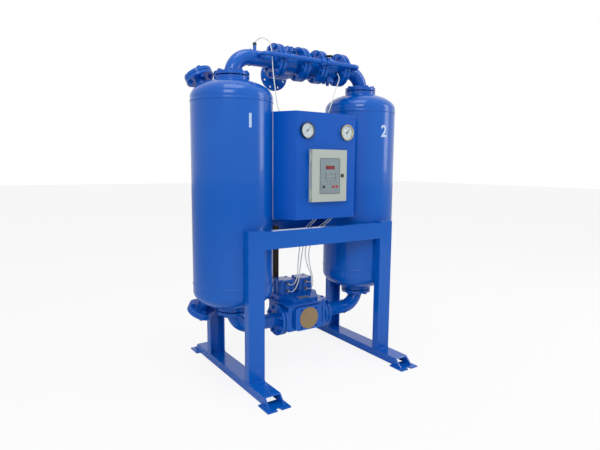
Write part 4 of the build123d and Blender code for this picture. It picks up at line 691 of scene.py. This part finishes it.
def plate(x0, z0, x1, z1):
    """Thin bar on the panel between two corners."""
    return upright(prism([(x0, z0), (x1, z0), (x1, z1), (x0, z1)], MARK_LOW, PRINT_HIGH), 0, PANEL_Y, 0)


def lamp(x, z, r):
    """Low round lamp whose top is drawn in to 0.7 of its radius."""
    button = turned([(0, 0.0001), (r, 0.0001), (r, 0.0006), (r * 0.7, 0.0012), (0, 0.0012)], 16)
    return upright(moved(button, Matrix.Translation((x, z, 0))), 0, PANEL_Y, 0)


def rim(x0, z0, x1, z1, corner, width):
    """Band round a rounded rectangle: each corner is an arc of nine points, (cx + r cos t, cz + r sin t), and
    the inner loop has the same centres with r less the width."""
    t = np.radians(np.linspace(0, 90, 9))
    loops = []
    for r in (corner, corner - width):
        loops.append(np.concatenate([np.c_[cx + r * np.cos(t + q), cz + r * np.sin(t + q)] for cx, cz, q in (
            (x1 - corner, z1 - corner, 0), (x0 + corner, z1 - corner, math.pi / 2),
            (x0 + corner, z0 + corner, math.pi), (x1 - corner, z0 + corner, 1.5 * math.pi))]))
    n = len(loops[0])
    flat = np.concatenate(loops)
    points = np.r_[np.c_[flat, np.full(2 * n, MARK_LOW)], np.c_[flat, np.full(2 * n, 0.0005)]]
    i = np.arange(n)
    k = (i + 1) % n
    quads = np.concatenate([np.c_[i, k, k + n, i + n][:, ::-1], np.c_[i, k, k + n, i + n] + 2 * n,
                            np.c_[i, k, k + 2 * n, i + 2 * n],
                            np.c_[i + n, k + n, k + 3 * n, i + 3 * n][:, ::-1]])
    return upright((points, quads.tolist()), 0, PANEL_Y, 0)


print("helpers: plate, lamp, rim")

# %% [markdown]
# The chart shows the two towers as pairs of dark blocks with pale lines between them, and dark and red lamps
# below. Short pale dashes stand over the window and under the buttons.

# %% Key panel
dark_marks = [rim(-0.071, 1.097, 0.074, 1.302, 0.006, 0.0028)]
dark_marks += [plate(x - 0.003, z - 0.007, x + 0.003, z + 0.007)
               for x in (-0.030, 0.039) for z in (1.1885, 1.2105)]
dark_marks += [lamp(x, z, 0.0032)
               for x, z in ((0.004, 1.2105), (-0.018, 1.171), (0.026, 1.171), (0.004, 1.1556))]
light_marks = [plate(-0.024, 1.2225, 0.034, 1.2237), plate(-0.024, 1.1985, 0.034, 1.1993)]
light_marks += [plate(x, 1.1993, x + 0.0008, 1.2225) for x in (-0.024, 0.0332)]
light_marks += [plate(x - 0.004, 1.2740, x + 0.004, 1.2756) for x in (-0.018, 0.003, 0.024)]
light_marks += [plate(x - 0.008, 1.1245, x + 0.008, 1.1258) for x in (-0.044, 0.025, 0.051)]
lamps = [lamp(0.005, 1.173, 0.0022), lamp(-0.030, 1.2225, 0.0016), lamp(0.040, 1.2225, 0.0016)]
digits = upright(text_mesh("0.78", 0.0120, 0.0002), 0.0015, PANEL_Y - 0.001, 1.2430)
panel_dark = piece("panel_marks_dark", join(dark_marks), M["panel_dark"], "door")
panel_light = piece("panel_marks_light", join(light_marks), M["print_light"], "door")
panel_lamps = piece("panel_lamps", join(lamps), M["red"], "door", smooth=50)
panel_digits = piece("panel_digits", digits, M["red"], "door")
made("panel", panel_dark, panel_light, panel_lamps, panel_digits)

# %% [markdown]
# The inlet valve's raised seat carries a bare metal plate with two rivets, tilted by the seat's own slope of
# 16 mm over 91 mm. The air tubes of the gauges begin in black nuts, and the folded cover is held by domed
# screws. All are turned or straight shapes like the bolts.

# %% Plate
SEAT_SLOPE = math.atan2(0.016, 0.091)
SEAT_PLACE = (0, -0.040, 0.4197)
PLATE_HALF_X = 0.041
PLATE_HALF_Y = 0.014
PLATE_THICK = 0.0012
RIVET_X = 0.036
seat = Matrix.Translation(SEAT_PLACE) @ Matrix.Rotation(SEAT_SLOPE, 4, "X")
outline = [(x * PLATE_HALF_X, y * PLATE_HALF_Y) for x, y in ((-1, -1), (1, -1), (1, 1), (-1, 1))]
rivet = turned([(0, 0), (0.0026, 0), (0.0022, 0.0012), (0, 0.0017)], 12)
trim = [moved(prism(outline, 0, PLATE_THICK), seat)]
trim += [moved(rivet, seat @ Matrix.Translation((x, 0, PLATE_THICK))) for x in (-RIVET_X, RIVET_X)]
bare_plate = piece("bare_plate", join(trim), M["plate"], smooth=40)
made("plate", bare_plate)

# %% Nuts of the tubes and screws of the cover
UNION_NUT_PLACE = (-0.328, 0, 1.9440)
TAP_X = 0.228
TAP_REACH = 0.0605
TAP_DROP = math.radians(30)
COVER_SCREW_X = 0.198
COVER_SCREW_Z = (0.968, 1.255, 1.545)
tap_way = Vector((0, -math.cos(TAP_DROP), -math.sin(TAP_DROP)))
tap_nut = frame_at(Vector((TAP_X, 0, TOP_Z)) + tap_way * TAP_REACH, tap_way)
nuts = [moved(hexagon_head(0.0220, 0.0125), frame_at(UNION_NUT_PLACE, (0, 0, 1))),
        moved(hexagon_head(0.0180, 0.0110), tap_nut)]
tube_nuts = piece("tube_nuts", join(nuts), M["black"])
dome = turned([(0, 0), (0.006, 0), (0.0056, 0.0018), (0.0035, 0.0032), (0, 0.0036)], 20)
domes = [moved(dome, frame_at((x, COVER_Y, z), (0, -1, 0)))
         for x in (-COVER_SCREW_X, COVER_SCREW_X) for z in COVER_SCREW_Z]
cover_screws = piece("cover_screws", join(domes), M["cover"], smooth=50)
made("small hardware", tube_nuts, cover_screws)

# %% [markdown]
# Six white plastic air tubes, 6 mm across, stiff enough to stand in gentle arcs: two lead line pressure to
# the gauges, four bring control air to the actuators. The solids give each tube simply. A curve with a round
# bevel on the same route gives a smooth one, and it replaces the solid on the same ends.

# %% Tube routes
ROUTES = {
    "sensor_tube_left": [
        (-0.328, 0, 1.9592), (-0.306, -0.022, 1.990), (-0.268, -0.060, 1.970), (-0.262, -0.084, 1.908),
        (-0.262, -0.088, 1.848), (-0.264, -0.100, 1.785), (-0.268, -0.122, 1.722), (-0.268, -0.138, 1.655),
        (-0.264, -0.150, 1.590), (-0.244, -0.160, 1.530), (-0.212, -0.150, 1.480), (-0.168, -0.146, 1.458),
        (-0.142, -0.184, 1.455), (-0.142, -0.2218, 1.455)],
    "sensor_tube_right": [
        (0.228, -0.0632, 1.8345), (0.224, -0.0912, 1.8125), (0.200, -0.112, 1.774), (0.160, -0.132, 1.718),
        (0.118, -0.162, 1.656), (0.088, -0.176, 1.600), (0.084, -0.148, 1.540), (0.096, -0.120, 1.486),
        (0.122, -0.140, 1.449), (0.142, -0.186, 1.455), (0.142, -0.2218, 1.455)],
    "control_tube_1": [
        (-0.080, 0.0118, 0.503), (-0.080, -0.048, 0.503), (-0.062, -0.066, 0.570), (-0.058, -0.062, 0.640),
        (-0.060, -0.074, 0.712), (-0.072, -0.104, 0.780), (-0.080, -0.142, 0.845), (-0.078, -0.186, 0.905),
        (-0.070, -0.249, 0.945), (-0.070, -0.249, 0.9888)],
    "control_tube_2": [
        (-0.080, 0.0118, 0.457), (-0.080, -0.044, 0.457), (-0.054, -0.064, 0.528), (-0.046, -0.066, 0.606),
        (-0.046, -0.082, 0.690), (-0.054, -0.112, 0.765), (-0.062, -0.150, 0.840), (-0.060, -0.192, 0.905),
        (-0.050, -0.249, 0.945), (-0.050, -0.249, 0.9888)],
    "control_tube_3": [
        (0.060, 0.0118, 0.503), (0.060, -0.048, 0.503), (0.042, -0.066, 0.568), (0.012, -0.060, 0.634),
        (-0.016, -0.078, 0.704), (-0.030, -0.108, 0.776), (-0.016, -0.146, 0.842), (0.016, -0.188, 0.900),
        (0.050, -0.249, 0.945), (0.050, -0.249, 0.9888)],
    "control_tube_4": [
        (0.060, 0.0118, 0.457), (0.060, -0.044, 0.457), (0.060, -0.066, 0.529), (0.034, -0.070, 0.606),
        (0.004, -0.088, 0.680), (-0.014, -0.118, 0.752), (-0.004, -0.154, 0.826), (0.030, -0.192, 0.892),
        (0.070, -0.249, 0.945), (0.070, -0.249, 0.9888)],
}
print("routes:", len(ROUTES), "with", sum(len(route) for route in ROUTES.values()), "points")

# %% [markdown]
# A NURBS spline of order 3 stays close to its points and has no corners. With its ends clamped it starts and
# stops in the fittings, and filled caps close it there.

# %% Tubes
TUBE_D = 0.006
for name, route in ROUTES.items():
    curve = bpy.data.curves.new(name + "_line", "CURVE")
    curve.dimensions = "3D"
    spline = curve.splines.new("NURBS")
    spline.points.add(len(route) - 1)
    spline.points.foreach_set("co", np.c_[np.array(route), np.ones(len(route))].ravel())
    spline.order_u = 3
    spline.use_endpoint_u = True
    spline.resolution_u = 8
    curve.bevel_depth = TUBE_D / 2
    curve.bevel_resolution = 4
    curve.use_fill_caps = True
    line = bpy.data.objects.new(name + "_line", curve)
    bpy.context.collection.objects.link(line)
    curve.materials.append(M["tube"])
    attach(line, "frame")
    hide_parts(name)
print("tubes:", len(ROUTES))

# %% [markdown]
# The photograph has a pure white ground. More light would bleach the paint too, so only the camera's own rays
# see the floor mixed with a white glow. Every other ray meets a plain matt floor, and a soft shadow remains.

# %% Floor
FLOOR_HALF = 30
FLOOR_Z = -0.0005
GLOW = 0.86
floor_mesh = bpy.data.meshes.new("floor")
corners = np.array([(-1, -1, 0), (1, -1, 0), (1, 1, 0), (-1, 1, 0)]) * FLOOR_HALF + (0, 0, FLOOR_Z)
floor_mesh.from_pydata(corners.tolist(), [], [(0, 1, 2, 3)])
floor = bpy.data.objects.new("floor", floor_mesh)
bpy.context.collection.objects.link(floor)
floor_pale = bpy.data.materials.new("floor_pale")
floor_pale.use_nodes = True
tree = floor_pale.node_tree
matt = tree.nodes["Principled BSDF"]
matt.inputs["Base Color"].default_value = (0.9, 0.9, 0.9, 1)
matt.inputs["Roughness"].default_value = 0.9
glow, rays, part, blend = (tree.nodes.new("ShaderNode" + kind)
                           for kind in ("Emission", "LightPath", "Math", "MixShader"))
glow.inputs["Color"].default_value = (1, 1, 1, 1)
part.operation = "MULTIPLY"
part.inputs[1].default_value = GLOW
tree.links.new(rays.outputs["Is Camera Ray"], part.inputs[0])
tree.links.new(part.outputs[0], blend.inputs[0])
tree.links.new(matt.outputs[0], blend.inputs[1])
tree.links.new(glow.outputs[0], blend.inputs[2])
tree.links.new(blend.outputs[0], tree.nodes["Material Output"].inputs["Surface"])
floor_mesh.materials.append(floor_pale)
print("floor:", 2 * FLOOR_HALF, "m across")

# %% [markdown]
# The world is white where it is looked at, also in a reflection or through glass, so that metal and gloss
# show the same studio as the backdrop. As light it is only a weak, slightly cool fill. The two are mixed by
# the largest of the three Light Path outputs for camera, glossy and transmission rays.

# %% World
scene = bpy.context.scene
world = bpy.data.worlds.new("studio")
world.use_nodes = True
tree = world.node_tree
seen = tree.nodes["Background"]
seen.inputs["Color"].default_value = (1, 1, 1, 1)
fill = tree.nodes.new("ShaderNodeBackground")
fill.inputs["Color"].default_value = (0.94, 0.97, 1.0, 1)
fill.inputs["Strength"].default_value = 0.5
rays = tree.nodes.new("ShaderNodeLightPath")
add_glossy, add_clear = (tree.nodes.new("ShaderNodeMath") for _ in range(2))
for node in (add_glossy, add_clear):
    node.operation = "MAXIMUM"
tree.links.new(rays.outputs["Is Camera Ray"], add_glossy.inputs[0])
tree.links.new(rays.outputs["Is Glossy Ray"], add_glossy.inputs[1])
tree.links.new(add_glossy.outputs[0], add_clear.inputs[0])
tree.links.new(rays.outputs["Is Transmission Ray"], add_clear.inputs[1])
blend = tree.nodes.new("ShaderNodeMixShader")
tree.links.new(add_clear.outputs[0], blend.inputs[0])
tree.links.new(fill.outputs[0], blend.inputs[1])
tree.links.new(seen.outputs[0], blend.inputs[2])
tree.links.new(blend.outputs[0], tree.nodes["World Output"].inputs["Surface"])
scene.world = world
scene.view_settings.view_transform = "Standard"
print("world:", world.name)

# %% [markdown]
# Three soft boxes light the dryer: a large one from the front left gives the towers their long highlight, one
# from above lights the heads and pipes, and a tall narrow one on the right keeps the shaded sides blue.

# %% Lights
AIM = (0, 0, 1.0)


def softbox(name, place, size, power):
    """Rectangular area lamp at a place, turned towards the middle of the dryer."""
    light = bpy.data.lights.new(name, "AREA")
    light.shape = "RECTANGLE"
    light.size, light.size_y = size
    light.energy = power
    obj = bpy.data.objects.new(name, light)
    obj.location = place
    obj.rotation_euler = (Vector(AIM) - Vector(place)).to_track_quat("-Z", "Y").to_euler()
    bpy.context.collection.objects.link(obj)
    return obj


made("lights", softbox("key", (-3.6, -4.6, 4.4), (2.6, 2.6), 150),
     softbox("top", (-0.6, -0.8, 5.4), (2.4, 2.4), 60),
     softbox("right", (4.2, -2.6, 2.6), (1.4, 3.0), 55))

# %% [markdown]
# The camera was solved from the photograph: standard flange and channel sizes gave its distance, and the
# frame's corners its turn and its focal length in pixels. A few hundredths of a radian matter here, so the
# angles are kept as found, and the camera's three axes are built from them.

# %% Camera
YAW, PITCH, ROLL = 0.591555, 0.122052, 0.0084387
EYE = (-1.70442, -2.53194, 1.25643)
FOCAL_PIXELS, FRAME_PIXELS, SENSOR = 481.225, 600, 36
ahead = Vector((math.sin(YAW) * math.cos(PITCH), math.cos(YAW) * math.cos(PITCH), -math.sin(PITCH)))
right = Vector((math.cos(YAW), -math.sin(YAW), 0))
up = right.cross(ahead)
right, up = right * math.cos(ROLL) + up * math.sin(ROLL), up * math.cos(ROLL) - right * math.sin(ROLL)
camera_data = bpy.data.cameras.new("camera")
camera_data.sensor_width = SENSOR
camera_data.lens = SENSOR * FOCAL_PIXELS / FRAME_PIXELS
camera_data.clip_end = 100
camera = bpy.data.objects.new("camera", camera_data)
camera.matrix_world = Matrix.Translation(EYE) @ Matrix(
    ((right.x, up.x, -ahead.x), (right.y, up.y, -ahead.y), (right.z, up.z, -ahead.z))).to_4x4()
bpy.context.collection.objects.link(camera)
scene.camera = camera
print("camera lens:", round(camera_data.lens, 2))
